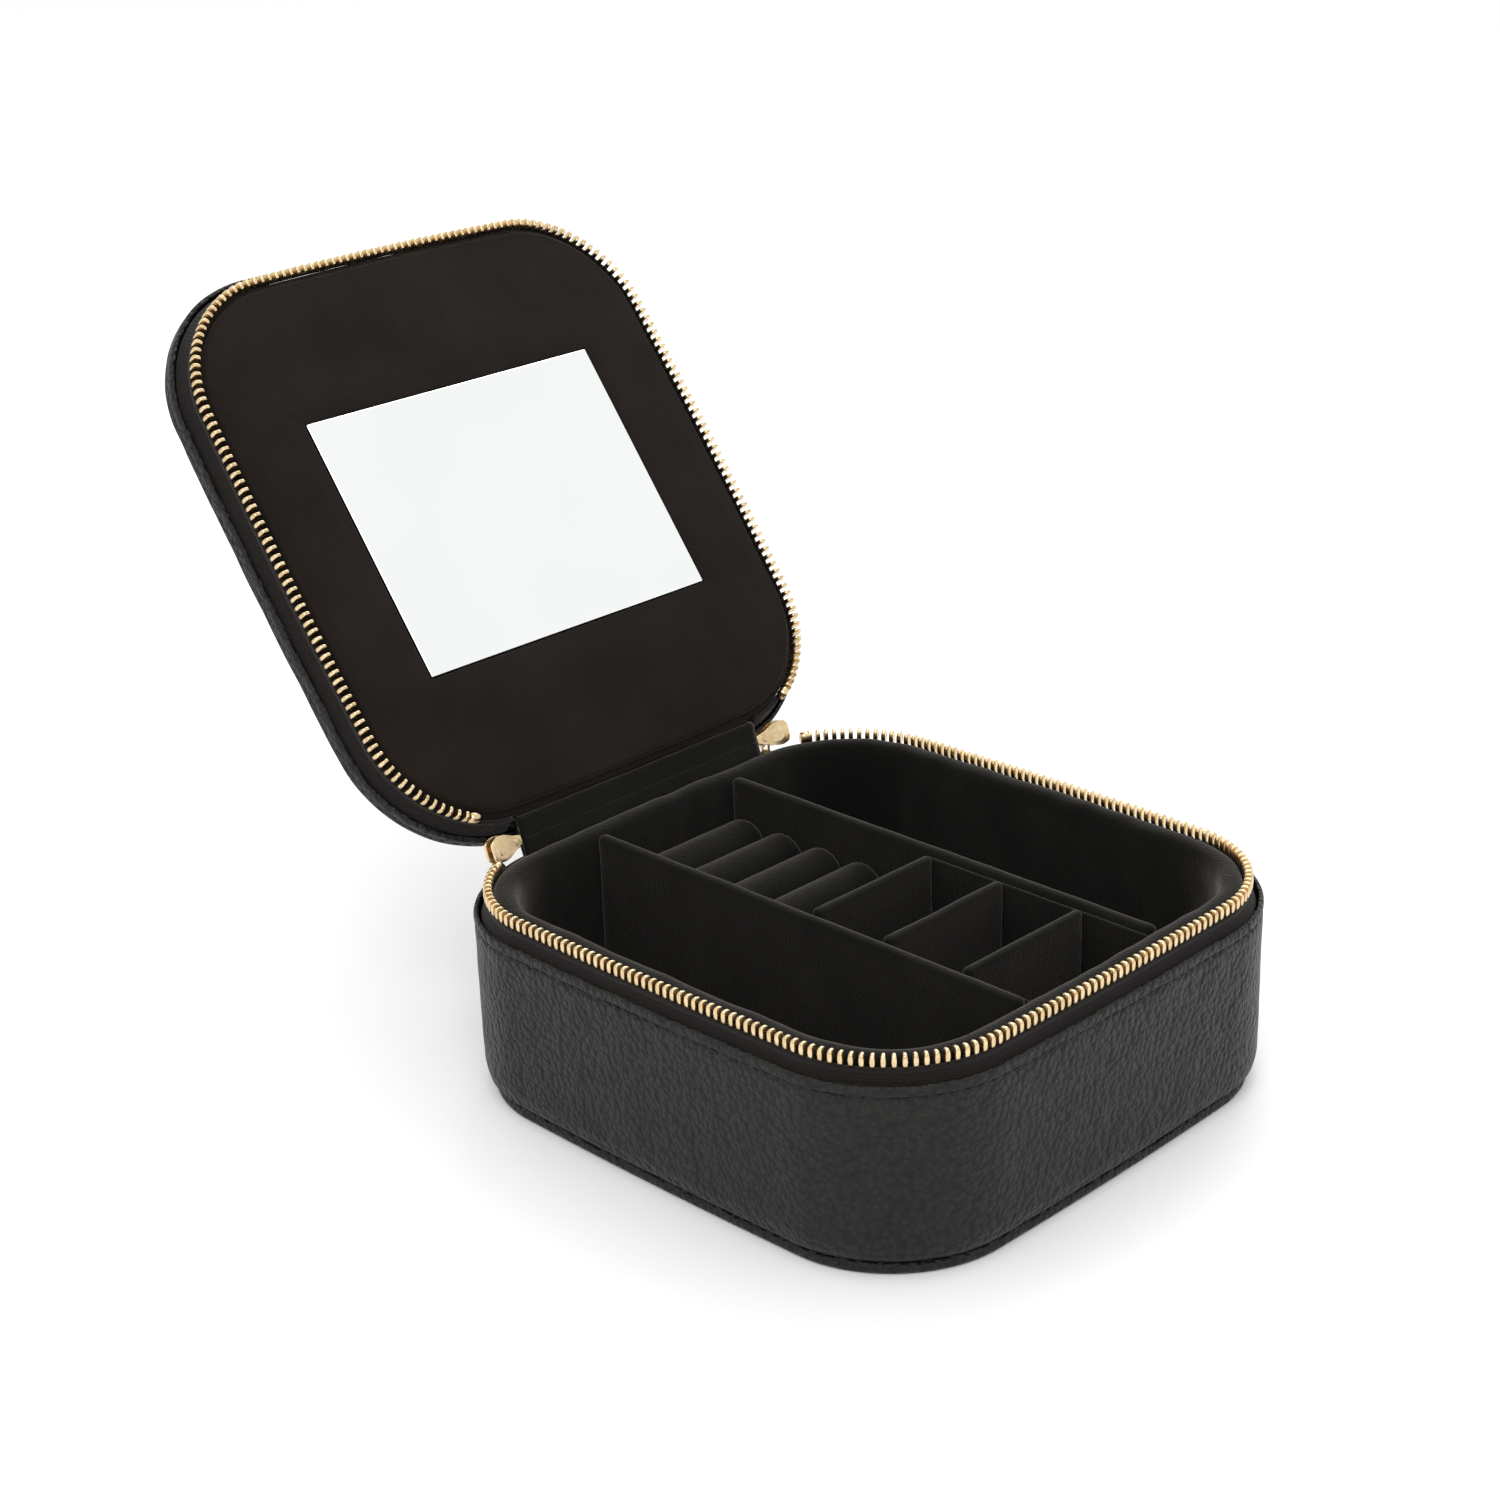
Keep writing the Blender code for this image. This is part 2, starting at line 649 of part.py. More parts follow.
def main():
    clear_scene()
    materials = {
        "leather": make_material("leather", (0.022, 0.022, 0.021), 0.5),
        "tape": make_material("tape", (0.03, 0.022, 0.02), 0.85),
        "gold": make_material("gold", (0.80, 0.62, 0.33), 0.28, 1.0),
        "velvet": make_material("velvet", (0.010, 0.010, 0.009), 0.95),
        "velvet_lid": make_material("velvet_lid", (0.024, 0.018, 0.014), 0.95),
        "mirror": make_material("mirror", (0.93, 0.94, 0.94), 0.03, 1.0),
        "board": make_material("board", (0.35, 0.31, 0.25), 0.9),
        "foam": make_material("foam", (0.09, 0.09, 0.09), 0.95),
    }
    collection = bpy.data.collections.new("travel_jewelry_case")
    bpy.context.scene.collection.children.link(collection)
    add_parts(base_parts(), materials, collection)

    spine_hinge = bpy.data.objects.new("spine_hinge", None)
    collection.objects.link(spine_hinge)
    spine_hinge.location = CREASE_BASE
    spine_hinge.rotation_euler = (-SPINE_LEAN, 0, 0)
    add_parts(spine_parts(), materials, collection, spine_hinge, CREASE_BASE)

    lid_hinge = bpy.data.objects.new("lid_hinge", None)
    collection.objects.link(lid_hinge)
    lid_hinge.parent = spine_hinge
    lid_hinge.location = CREASE_LID - CREASE_BASE
    lid_hinge.rotation_euler = (-(LID_OPEN - SPINE_LEAN), 0, 0)
    add_parts(lid_parts(), materials, collection, lid_hinge, CREASE_LID)

    for side, sign in (("left", -1), ("right", 1)):
        pull_hinge = bpy.data.objects.new(f"pull_hinge_{side}", None)
        collection.objects.link(pull_hinge)
        pull_hinge.location = bridge_place(sign)
        add_parts(pull_parts(side, sign), materials, collection, pull_hinge, bridge_place(sign))


main()
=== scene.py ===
import json
import math

import bmesh
import bpy
import numpy as np
from mathutils import Matrix, Vector, noise


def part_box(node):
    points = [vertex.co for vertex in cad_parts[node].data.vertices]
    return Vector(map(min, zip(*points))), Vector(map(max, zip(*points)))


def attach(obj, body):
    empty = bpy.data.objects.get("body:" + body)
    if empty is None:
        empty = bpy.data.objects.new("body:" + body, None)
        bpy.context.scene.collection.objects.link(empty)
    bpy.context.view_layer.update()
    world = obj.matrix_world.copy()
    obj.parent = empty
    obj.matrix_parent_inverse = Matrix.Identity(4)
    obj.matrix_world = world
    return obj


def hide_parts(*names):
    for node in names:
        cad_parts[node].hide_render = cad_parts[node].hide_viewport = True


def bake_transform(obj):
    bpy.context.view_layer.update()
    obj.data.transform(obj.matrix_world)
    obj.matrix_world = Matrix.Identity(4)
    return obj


MM = 0.001
NOISE_SEED = 7

# Zip line seen from above: a square with round corners and slightly bowed sides.
CORNER_RADIUS = 32.0 * MM
SIDE_BOW = 1.9 * MM
FLOOR_LINING_IN = 8.3 * MM
LINE_SAMPLES = 6000

# Heights measured away from the plane of the teeth, and places measured outwards from the zip line.
TEETH_HEIGHT = 3.6 * MM
TEETH_HALF = 1.25 * MM
TEETH_START = 59.5 * MM
TOOTH_PITCH = 2.5 * MM
TOOTH_WIDTH = 1.36 * MM
TAPE_START = 47.0 * MM
LEATHER_OUT = 4.0 * MM
LEATHER_THICK = 1.3 * MM
BASE_EDGE = 6.7 * MM
LID_EDGE = 8.3 * MM
SEAM_DROP = 3.2 * MM
PANEL_OUT = 1.5 * MM
LID_PANEL_OUT = 2.7 * MM
PANEL_THICK = 3.6 * MM
LID_PANEL_BACK = 15.4 * MM
LID_PANEL_THICK = 2.8 * MM
GAP = 0.3 * MM
LINING_FACE = 1.6 * MM
LINING_BACK = 3.6 * MM
LINING_IN = 2.6 * MM
LINING_FLANGE = 4.1 * MM
FLANGE_IN = 0.85 * MM
STITCH_PITCH = 3.4 * MM
STITCH_LENGTH = 2.5 * MM
STITCH_RADIUS = 0.26 * MM
END_CLIP_INSET = 1.2 * MM
BASE_FOOT_CURL = 2.6 * MM
LID_FOOT_CURL = 1.1 * MM
BASE_LINING_INNER = -8.0 * MM
BASE_LINING_OUTER = -0.85 * MM
BASE_LINING_DROP = 1.7 * MM
BASE_LINING_THICK = 1.0 * MM

# How far soft surfaces stray from their even shape.
LEATHER_WOBBLE = 0.2 * MM
TAPE_WOBBLE = 0.08 * MM
BASE_LINING_WOBBLE = 0.35 * MM
LID_LINING_WOBBLE = 0.12 * MM
DIVIDER_WOBBLE = 0.22 * MM
LINER_WOBBLE = 0.1 * MM
CROSS_WOBBLE = 0.2 * MM
ROLL_BASE_WOBBLE = 0.08 * MM
HINGE_WOBBLE = 0.12 * MM
ROLL_HOLLOW = 0.22 * MM
LID_CROWN = 0.35 * MM

# Soft hinge and the mirror.
SPINE_HALF = 45.9 * MM
CREASE_OUT = 0.5 * MM
CREASE_REACH = 2.4 * MM
MIRROR_HALF = Vector((51.8 * MM, 39.2 * MM))
MIRROR_BEVEL = 0.45 * MM

# Sliders, links and tabs.
SLIDER_X = 52.0 * MM
SLIDER_TURN = math.radians(9.0)
SLIDER_LENGTH = 5.8 * MM
SLIDER_HEIGHT = 3.7 * MM
SLIDER_INSIDE = 0.9 * MM
SLIDER_OUTSIDE = 1.7 * MM
WEDGE_ALONG = 1.75 * MM
WEDGE_LENGTH = 1.9 * MM
WEDGE_HEIGHT = 1.2 * MM
BRIDGE_OUT = 3.8 * MM
BRIDGE_FOOT = 1.4 * MM
BRIDGE_ALONG = 2.6 * MM
BRIDGE_REACH = 2.4 * MM
BRIDGE_RADIUS = 0.55 * MM
LINK_WIRE = 0.42 * MM
TAB_HEAD = 2.6 * MM
TAB_HOLE = 1.4 * MM

# Setting: each lamp's name, place, size and power.
LAMPS = (("key", (-0.9, -0.7, 1.3), 0.9, 9.0), ("rim", (0.9, 0.5, 1.1), 0.8, 6.0))
FLOOR_REACH = 3.0
SENSOR_WIDTH = 36.0

# Camera: direction, distance and framing, in degrees and metres.
CAMERA_AZIMUTH = -44.72
CAMERA_ELEVATION = 22.51
CAMERA_ROLL = -2.02
CAMERA_DISTANCE = 0.74997
CAMERA_SLIDE = Vector((-30.905 * MM, 40.758 * MM))
CAMERA_AIM = Vector((0, 0, 50 * MM))
CAMERA_LENS = 67.83


def write_size():
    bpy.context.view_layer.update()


noise.seed_set(NOISE_SEED)
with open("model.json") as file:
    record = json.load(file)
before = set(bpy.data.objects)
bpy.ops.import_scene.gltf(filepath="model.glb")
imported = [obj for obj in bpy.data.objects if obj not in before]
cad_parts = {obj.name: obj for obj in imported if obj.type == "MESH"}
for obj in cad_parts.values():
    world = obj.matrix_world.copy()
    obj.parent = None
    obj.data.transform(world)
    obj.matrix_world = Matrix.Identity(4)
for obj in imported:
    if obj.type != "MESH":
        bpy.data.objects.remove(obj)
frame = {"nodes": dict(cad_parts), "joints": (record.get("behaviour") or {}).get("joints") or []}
write_size()
joints = {joint["name"]: joint for joint in frame["joints"]}

RIM_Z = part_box("base_zip_teeth")[1].z
HALF_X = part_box("base_floor_lining")[1].x + FLOOR_LINING_IN
HALF_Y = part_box("base_floor_lining")[1].y + FLOOR_LINING_IN
BACK_Y = HALF_Y
CREASE_BASE = Vector(joints["spine_fold"]["pos_m"])
CREASE_LID = Vector(joints["lid_fold"]["pos_m"])
SPINE_LENGTH = (CREASE_LID - CREASE_BASE).length
LID_CLOSED_CREASE = CREASE_BASE + Vector((0, 0, SPINE_LENGTH))
LID_Z = 2 * CREASE_BASE.z + SPINE_LENGTH - RIM_Z
SPINE_LEAN = math.radians(joints["spine_fold"]["range_deg"][1])
LID_FOLD = math.radians(joints["lid_fold"]["range_deg"][1])


def turn_about(point, angle):
    return Matrix.Translation(point) @ Matrix.Rotation(-angle, 4, "X") @ Matrix.Translation(-point)


SPINE_REST = turn_about(CREASE_BASE, SPINE_LEAN)
LID_REST = SPINE_REST @ turn_about(LID_CLOSED_CREASE, LID_FOLD)


# Materials ------------------------------------------------------------------------------------------------


class Nodes:
    """A material's node tree, with short calls to add and join nodes."""

    def __init__(self, name):
        self.material = bpy.data.materials.new(name)
        self.material.use_nodes = True
        self.tree = self.material.node_tree
        self.shader = self.tree.nodes["Principled BSDF"]
        self.place = self.tree.nodes.new("ShaderNodeTexCoord").outputs["Object"]

    def add(self, kind, source=None):
        node = self.tree.nodes.new(kind)
        if source is not None:
            self.tree.links.new(source, node.inputs[0])
        return node

    def join(self, source, target):
        self.tree.links.new(source, target)

    def noise(self, scale, detail=3.0):
        node = self.add("ShaderNodeTexNoise")
        node.inputs["Scale"].default_value = scale
        node.inputs["Detail"].default_value = detail
        self.join(self.place, node.inputs["Vector"])
        return node.outputs["Fac"]

    def cells(self, scale):
        node = self.add("ShaderNodeTexVoronoi")
        node.inputs["Scale"].default_value = scale
        self.join(self.place, node.inputs["Vector"])
        return node.outputs["Distance"]

    def ramp(self, source, stops):
        node = self.add("ShaderNodeValToRGB", source)
        elements = node.color_ramp.elements
        for element, (position, color) in zip(elements, (stops[0], stops[-1])):
            element.position = position
            element.color = (*color, 1.0)
        for position, color in stops[1:-1]:
            elements.new(position).color = (*color, 1.0)
        return node.outputs["Color"]

    def bump(self, height, strength, distance, below=None, sunk=False):
        node = self.add("ShaderNodeBump")
        node.invert = sunk
        node.inputs["Strength"].default_value = strength
        node.inputs["Distance"].default_value = distance
        self.join(height, node.inputs["Height"])
        if below is not None:
            self.join(below, node.inputs["Normal"])
        return node.outputs["Normal"]

    def color(self, source):
        self.join(source, self.shader.inputs["Base Color"])

    def roughness(self, source, low, high):
        node = self.add("ShaderNodeMapRange", source)
        node.inputs["To Min"].default_value = low
        node.inputs["To Max"].default_value = high
        self.join(node.outputs["Result"], self.shader.inputs["Roughness"])

    def set(self, **values):
        for key, value in values.items():
            self.shader.inputs[key.replace("_", " ")].default_value = value


def leather():
    """Black pebbled leather: grains of two sizes, with soft creases across them."""
    nodes = Nodes("case_leather")
    grain = nodes.cells(560.0)
    fine = nodes.cells(1250.0)
    folds = nodes.noise(150.0, 5.0)
    nodes.color(nodes.ramp(grain, [(0.2, (0.0095, 0.0095, 0.0078)), (0.75, (0.002, 0.002, 0.0017))]))
    nodes.roughness(folds, 0.36, 0.58)
    coarse = nodes.bump(grain, 1.0, 0.8 * MM, sunk=True)
    both = nodes.bump(fine, 0.55, 0.2 * MM, coarse, sunk=True)
    nodes.join(nodes.bump(folds, 0.8, 1.1 * MM, both), nodes.shader.inputs["Normal"])
    nodes.set(Specular_IOR_Level=0.27)
    return nodes.material


def velvet(name, dark, light, sheen):
    """Short pile: a fine broken nap with soft brushed patches and a pale bloom at grazing angles."""
    nodes = Nodes(name)
    patches = nodes.noise(38.0, 5.0)
    nap = nodes.noise(1500.0, 3.0)
    nodes.color(nodes.ramp(patches, [(0.32, dark), (0.72, light)]))
    nodes.roughness(nap, 0.85, 1.0)
    brushed = nodes.bump(patches, 0.35, 0.5 * MM)
    nodes.join(nodes.bump(nap, 0.8, 0.3 * MM, brushed), nodes.shader.inputs["Normal"])
    nodes.set(Sheen_Weight=sheen, Sheen_Roughness=0.42, Specular_IOR_Level=0.12)
    nodes.shader.inputs["Sheen Tint"].default_value = (1.0, 0.93, 0.86, 1.0)
    return nodes.material


def woven(name, dark, light, scale):
    """Tightly woven tape or thread: even ribs broken up by fine threads."""
    nodes = Nodes(name)
    weave = nodes.add("ShaderNodeTexWave")
    weave.wave_type = "BANDS"
    weave.bands_direction = "Z"
    weave.inputs["Scale"].default_value = scale
    weave.inputs["Distortion"].default_value = 1.6
    weave.inputs["Detail Scale"].default_value = 3.0
    nodes.join(nodes.place, weave.inputs["Vector"])
    threads = nodes.noise(1900.0, 2.0)
    nodes.color(nodes.ramp(threads, [(0.3, dark), (0.7, light)]))
    nodes.roughness(threads, 0.75, 0.95)
    ribs = nodes.bump(weave.outputs["Fac"], 0.5, 0.2 * MM)
    nodes.join(nodes.bump(threads, 0.5, 0.12 * MM, ribs), nodes.shader.inputs["Normal"])
    nodes.set(Sheen_Weight=0.12, Specular_IOR_Level=0.15)
    return nodes.material


def gold():
    """Pale plated brass with a faint tumbled texture."""
    nodes = Nodes("case_gold")
    wear = nodes.noise(420.0, 4.0)
    nodes.color(nodes.ramp(wear, [(0.3, (0.62, 0.45, 0.24)), (0.7, (0.86, 0.69, 0.44))]))
    nodes.roughness(wear, 0.16, 0.34)
    nodes.join(nodes.bump(nodes.noise(1500.0), 0.12, 0.05 * MM), nodes.shader.inputs["Normal"])
    nodes.set(Metallic=1.0)
    return nodes.material


def glass():
    """Silvered glass that is very slightly uneven, as thin mirrors are."""
    nodes = Nodes("case_mirror")
    clouds = nodes.noise(16.0, 2.0)
    nodes.color(nodes.ramp(clouds, [(0.3, (0.90, 0.915, 0.915)), (0.7, (0.93, 0.94, 0.94))]))
    nodes.roughness(clouds, 0.02, 0.05)
    nodes.join(nodes.bump(clouds, 0.03, 0.1 * MM), nodes.shader.inputs["Normal"])
    nodes.set(Metallic=1.0)
    return nodes.material


def fibrous(name, dark, light, scale, depth):
    """Pressed board or foam: mottled, matt and slightly pitted."""
    nodes = Nodes(name)
    mottle = nodes.noise(scale, 5.0)
    nodes.color(nodes.ramp(mottle, [(0.3, dark), (0.7, light)]))
    nodes.roughness(mottle, 0.8, 0.97)
    nodes.join(nodes.bump(nodes.cells(scale * 3), 0.4, depth), nodes.shader.inputs["Normal"])
    return nodes.material


MATERIALS = {
    "leather": leather(),
    "velvet": velvet("case_velvet", (0.0022, 0.0021, 0.0018), (0.0062, 0.0058, 0.005), 0.2),
    "lid_velvet": velvet("case_lid_velvet", (0.0075, 0.0052, 0.0038), (0.013, 0.0095, 0.007), 0.09),
    "zip_tape": woven("case_zip_tape", (0.005, 0.0036, 0.0034), (0.014, 0.010, 0.0095), 420.0),
    "thread": woven("case_thread", (0.006, 0.006, 0.006), (0.020, 0.020, 0.019), 900.0),
    "gold_metal": gold(),
    "mirror": glass(),
    "board": fibrous("case_board", (0.035, 0.031, 0.027), (0.075, 0.067, 0.058), 240.0, 0.1 * MM),
    "foam": fibrous("case_foam", (0.05, 0.05, 0.05), (0.11, 0.11, 0.11), 520.0, 0.3 * MM),
}


# Zip line -------------------------------------------------------------------------------------------------


def dense_line():
    """The zip line as many even steps, anticlockwise from the middle of the back, with its length so far."""
    half_x, half_y = HALF_X - SIDE_BOW, HALF_Y - SIDE_BOW
    reach_x, reach_y = half_x - CORNER_RADIUS, half_y - CORNER_RADIUS
    angles = np.linspace(0, math.pi / 2, 200)
    points = [(0.0, half_y)]
    for quarter, (sx, sy) in enumerate(((-1, 1), (-1, -1), (1, -1), (1, 1)), 1):
        turned = angles + quarter * math.pi / 2
        arc_x = sx * reach_x + CORNER_RADIUS * np.cos(turned)
        arc_y = sy * reach_y + CORNER_RADIUS * np.sin(turned)
        start = np.array(points[-1])
        end = np.array((arc_x[0], arc_y[0]))
        points += [tuple(start + (end - start) * t) for t in np.linspace(0, 1, 120)[1:-1]]
        points += list(zip(arc_x, arc_y))
    points += [(x, half_y) for x in np.linspace(reach_x, 0, 80)[1:]]
    line = np.array(points)
    across, along = line[:, 0] / half_x, line[:, 1] / half_y
    line[:, 0] += SIDE_BOW * across * (1 - along**2)
    line[:, 1] += SIDE_BOW * along * (1 - across**2)
    length = np.concatenate(([0.0], np.cumsum(np.linalg.norm(np.diff(line, axis=0), axis=1))))
    even = np.linspace(0, length[-1], LINE_SAMPLES)
    return np.column_stack((np.interp(even, length, line[:, 0]), np.interp(even, length, line[:, 1]))), even


LINE, LINE_LENGTHS = dense_line()
LINE_LENGTH = LINE_LENGTHS[-1]


def line_at(lengths):
    """Points of the zip line and the outward direction there, at these lengths along it."""
    here = np.mod(lengths, LINE_LENGTH)
    step = 0.4 * MM

    def at(values):
        values = np.mod(values, LINE_LENGTH)
        return np.column_stack([np.interp(values, LINE_LENGTHS, LINE[:, axis]) for axis in (0, 1)])

    tangent = at(here + step) - at(here - step)
    tangent /= np.linalg.norm(tangent, axis=1)[:, None]
    return at(here), np.column_stack((tangent[:, 1], -tangent[:, 0]))


def all_round(spacing):
    return np.linspace(0, LINE_LENGTH, int(LINE_LENGTH / spacing), endpoint=False)


def round_front(start, spacing):
    """Lengths from the back left, round the front, to the back right."""
    return np.linspace(start, LINE_LENGTH - start, int((LINE_LENGTH - 2 * start) / spacing) + 1)


# Mesh work ------------------------------------------------------------------------------------------------


def soften(points, radius, steps=5):
    """A closed profile with each corner turned into a curve that starts radius before it."""
    result = []
    count = len(points)
    for index in range(count):
        corner = np.array(points[index])
        for_side = []
        for other in (points[index - 1], points[(index + 1) % count]):
            edge = np.array(other) - corner
            length = np.linalg.norm(edge)
            for_side.append(corner + edge / length * min(radius, 0.48 * length))
        for t in np.linspace(0, 1, steps):
            result.append((1 - t) ** 2 * for_side[0] + 2 * t * (1 - t) * corner + t * t * for_side[1])
    return result


def filled(points, spacing):
    """A closed profile with long edges split."""
    result = []
    for index, start in enumerate(points):
        end = points[(index + 1) % len(points)]
        parts = max(1, int(np.linalg.norm(np.array(end) - start) / spacing))
        result += [np.array(start) + (np.array(end) - start) * t / parts for t in range(parts)]
    return np.array(result)


def grid_faces(rows, columns, closed_rows, closed_columns):
    faces = []
    for row in range(rows if closed_rows else rows - 1):
        for column in range(columns if closed_columns else columns - 1):
            next_row, next_column = (row + 1) % rows, (column + 1) % columns
            faces.append(
                (
                    row * columns + column,
                    next_row * columns + column,
                    next_row * columns + next_column,
                    row * columns + next_column,
                )
            )
    return faces


def ruffle(points, amount, size, seed=0.0):
    """Moves points a little by smooth noise, so that cloth and leather don't look machined."""
    shift = Vector((seed, 2 * seed, 3 * seed))
    moved = []
    for point in points:
        place = Vector(point)
        moved.append(place + amount * noise.noise_vector(place / size + shift))
    return moved


def piece(name, points, faces, material, body=None, stands_for=(), smooth=True, place=None):
    """A mesh object with outward faces, its material, and the body and CAD nodes that it goes with."""
    mesh = bpy.data.meshes.new(name)
    mesh.from_pydata([tuple(point) for point in points], [], [tuple(face) for face in faces])
    work = bmesh.new()
    work.from_mesh(mesh)
    bmesh.ops.recalc_face_normals(work, faces=work.faces)
    if place is not None:
        bmesh.ops.transform(work, matrix=place, verts=work.verts)
    work.to_mesh(mesh)
    work.free()
    mesh.materials.append(MATERIALS[material])
    if smooth:
        mesh.shade_smooth()
    item = bpy.data.objects.new(name, mesh)
    bpy.context.scene.collection.objects.link(item)
    if body:
        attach(item, body)
    if stands_for:
        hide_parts(*stands_for)
    return item


def swept(name, lengths, profile, plane, up, closed, material, body, stands_for, place=None, wobble=0.0):
    """A closed profile of (outwards, away from the teeth) points carried along the zip line."""
    path, normal = line_at(lengths)
    rows, columns = len(path), len(profile)
    points = np.empty((rows, columns, 3))
    points[:, :, :2] = path[:, None, :] + normal[:, None, :] * profile[None, :, 0:1]
    points[:, :, 2] = plane + up * profile[None, :, 1]
    faces = grid_faces(rows, columns, closed, True)
    if not closed:
        faces += [range(columns), range((rows - 1) * columns, rows * columns)]
    flat = points.reshape(-1, 3)
    flat = ruffle(flat, wobble, 9 * MM, up) if wobble else flat
    return piece(name, flat, faces, material, body, stands_for, place=place)


def cushion_points(low, high, radius, spacing):
    """The points and faces of a box from low to high whose edges are rounded by radius."""
    low, high = np.array(low), np.array(high)
    radius = min(radius, 0.499 * min(high - low))
    curve = 1 - np.cos(np.linspace(0, math.pi / 2, 5))
    stops = []
    for axis in range(3):
        near = low[axis] + radius * curve
        far = high[axis] - radius * curve[::-1]
        inside = int((far[0] - near[-1]) / spacing)
        middle = np.linspace(near[-1], far[0], inside + 2)[1:-1]
        stops.append(np.concatenate((near, middle, far)))
    index, points, faces = {}, [], []

    def corner(i, j, k):
        key = (i, j, k)
        if key not in index:
            raw = np.array((stops[0][i], stops[1][j], stops[2][k]))
            core = np.clip(raw, low + radius, high - radius)
            away = raw - core
            size = np.linalg.norm(away)
            index[key] = len(points)
            points.append(core + away * (radius / size) if size > 1e-9 else raw)
        return index[key]

    counts = [len(stop) for stop in stops]
    for axis in range(3):
        first, second = [other for other in range(3) if other != axis]
        for side in (0, counts[axis] - 1):
            for a in range(counts[first] - 1):
                for b in range(counts[second] - 1):
                    face = []
                    for da, db in ((0, 0), (1, 0), (1, 1), (0, 1)):
                        key = [0, 0, 0]
                        key[axis], key[first], key[second] = side, a + da, b + db
                        face.append(corner(*key))
                    faces.append(face)
    return points, faces


def soft_board(node, radius, wobble, seed):
    """A padded board in a CAD node's place."""
    low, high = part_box(node)
    points, faces = cushion_points(low, high, radius, 2.2 * MM)
    item = piece(f"{node}_velvet", ruffle(points, wobble, 13 * MM, seed), faces, "velvet", "base", (node,))


def slab(name, offset, low, high, edge, material, body, stands_for, place=None, wobble=0.0, crown=0.0):
    """A panel that follows the zip line, with round edges and both faces closed by shrinking rings."""
    path, normal = line_at(all_round(1.6 * MM))
    rim = path + normal * offset
    count = len(rim)
    middle = (low + high) / 2
    half = (high - low) / 2
    rings = []
    shrink = np.linspace(0.02, 0.94, 22)
    for amount in shrink[::-1]:
        rings.append(((rim - normal * edge) * (1 - amount), -half))
    for angle in np.linspace(-math.pi / 2, math.pi / 2, 9):
        inset = edge * (1 - math.cos(angle))
        rings.append((rim - normal * inset, half * math.sin(angle)))
    for amount in shrink:
        rings.append(((rim - normal * edge) * (1 - amount), half + crown * math.sin(amount * math.pi / 2)))
    points = [(x, y, middle + z) for ring, z in rings for x, y in ring]
    faces = grid_faces(len(rings), count, False, True)
    faces += [range(count), range((len(rings) - 1) * count, len(rings) * count)]
    points = ruffle(points, wobble, 16 * MM, high) if wobble else points
    return piece(name, points, faces, material, body, stands_for, place=place)


def beads(lengths, shape, out, plane, up):
    """Copies of a small closed shape at these lengths; its points are (along, outwards, away)."""
    path, normal = line_at(lengths)
    along = np.column_stack((-normal[:, 1], normal[:, 0]))
    rings, columns, _ = shape.shape
    flat = shape.reshape(-1, 3)
    unit = grid_faces(rings, columns, False, True)
    unit += [range(columns), range((rings - 1) * columns, rings * columns)]
    points, faces = [], []
    for index, (spot, outward, ahead) in enumerate(zip(path, normal, along)):
        level = spot + outward * out + flat[:, 1:2] * outward + flat[:, 0:1] * ahead
        start = index * len(flat)
        points += [(x, y, plane + up * z) for (x, y), z in zip(level, flat[:, 2])]
        faces += [tuple(start + corner for corner in face) for face in unit]
    return points, faces


# Zip ------------------------------------------------------------------------------------------------------


def tooth_shape():
    """One U-shaped tooth that grips the tape's edge, with a narrower rounded head."""
    outline = []
    power, middle = 0.55, TEETH_HEIGHT / 2
    for angle in np.linspace(0, 2 * math.pi, 20, endpoint=False):
        cosine, sine = math.cos(angle), math.sin(angle)
        out = TEETH_HALF * math.copysign(abs(cosine) ** power, cosine)
        drop = TEETH_HEIGHT / 2 * (1 - math.copysign(abs(sine) ** power, sine))
        outline.append((out, drop))
    rings = []
    for along, size in ((-1.0, 0.72), (-0.86, 0.93), (-0.45, 1.0), (0.45, 1.0), (0.86, 0.93), (1.0, 0.72)):
        ring = []
        for out, drop in outline:
            depth = drop / TEETH_HEIGHT
            width = TOOTH_WIDTH / 2 * (0.72 + 0.28 * min(1.0, 2.2 * depth))
            ring.append((along * width, out * size, middle + (drop - middle) * (0.55 + 0.45 * size)))
        rings.append(ring)
    return np.array(rings)


def stop_shape():
    """The small clip that closes the end of a row of teeth."""
    rings = []
    for along, size in ((-1.5, 0.75), (-1.3, 0.98), (0.0, 1.06), (1.3, 0.98), (1.5, 0.75)):
        ring = []
        for angle in np.linspace(0, 2 * math.pi, 16, endpoint=False):
            out = 1.25 * MM * size * math.copysign(abs(math.cos(angle)) ** 0.6, math.cos(angle))
            drop = 1.7 * MM * size * math.copysign(abs(math.sin(angle)) ** 0.6, math.sin(angle))
            ring.append((along * MM, out, TEETH_HEIGHT / 2 + drop))
        rings.append(ring)
    return np.array(rings)


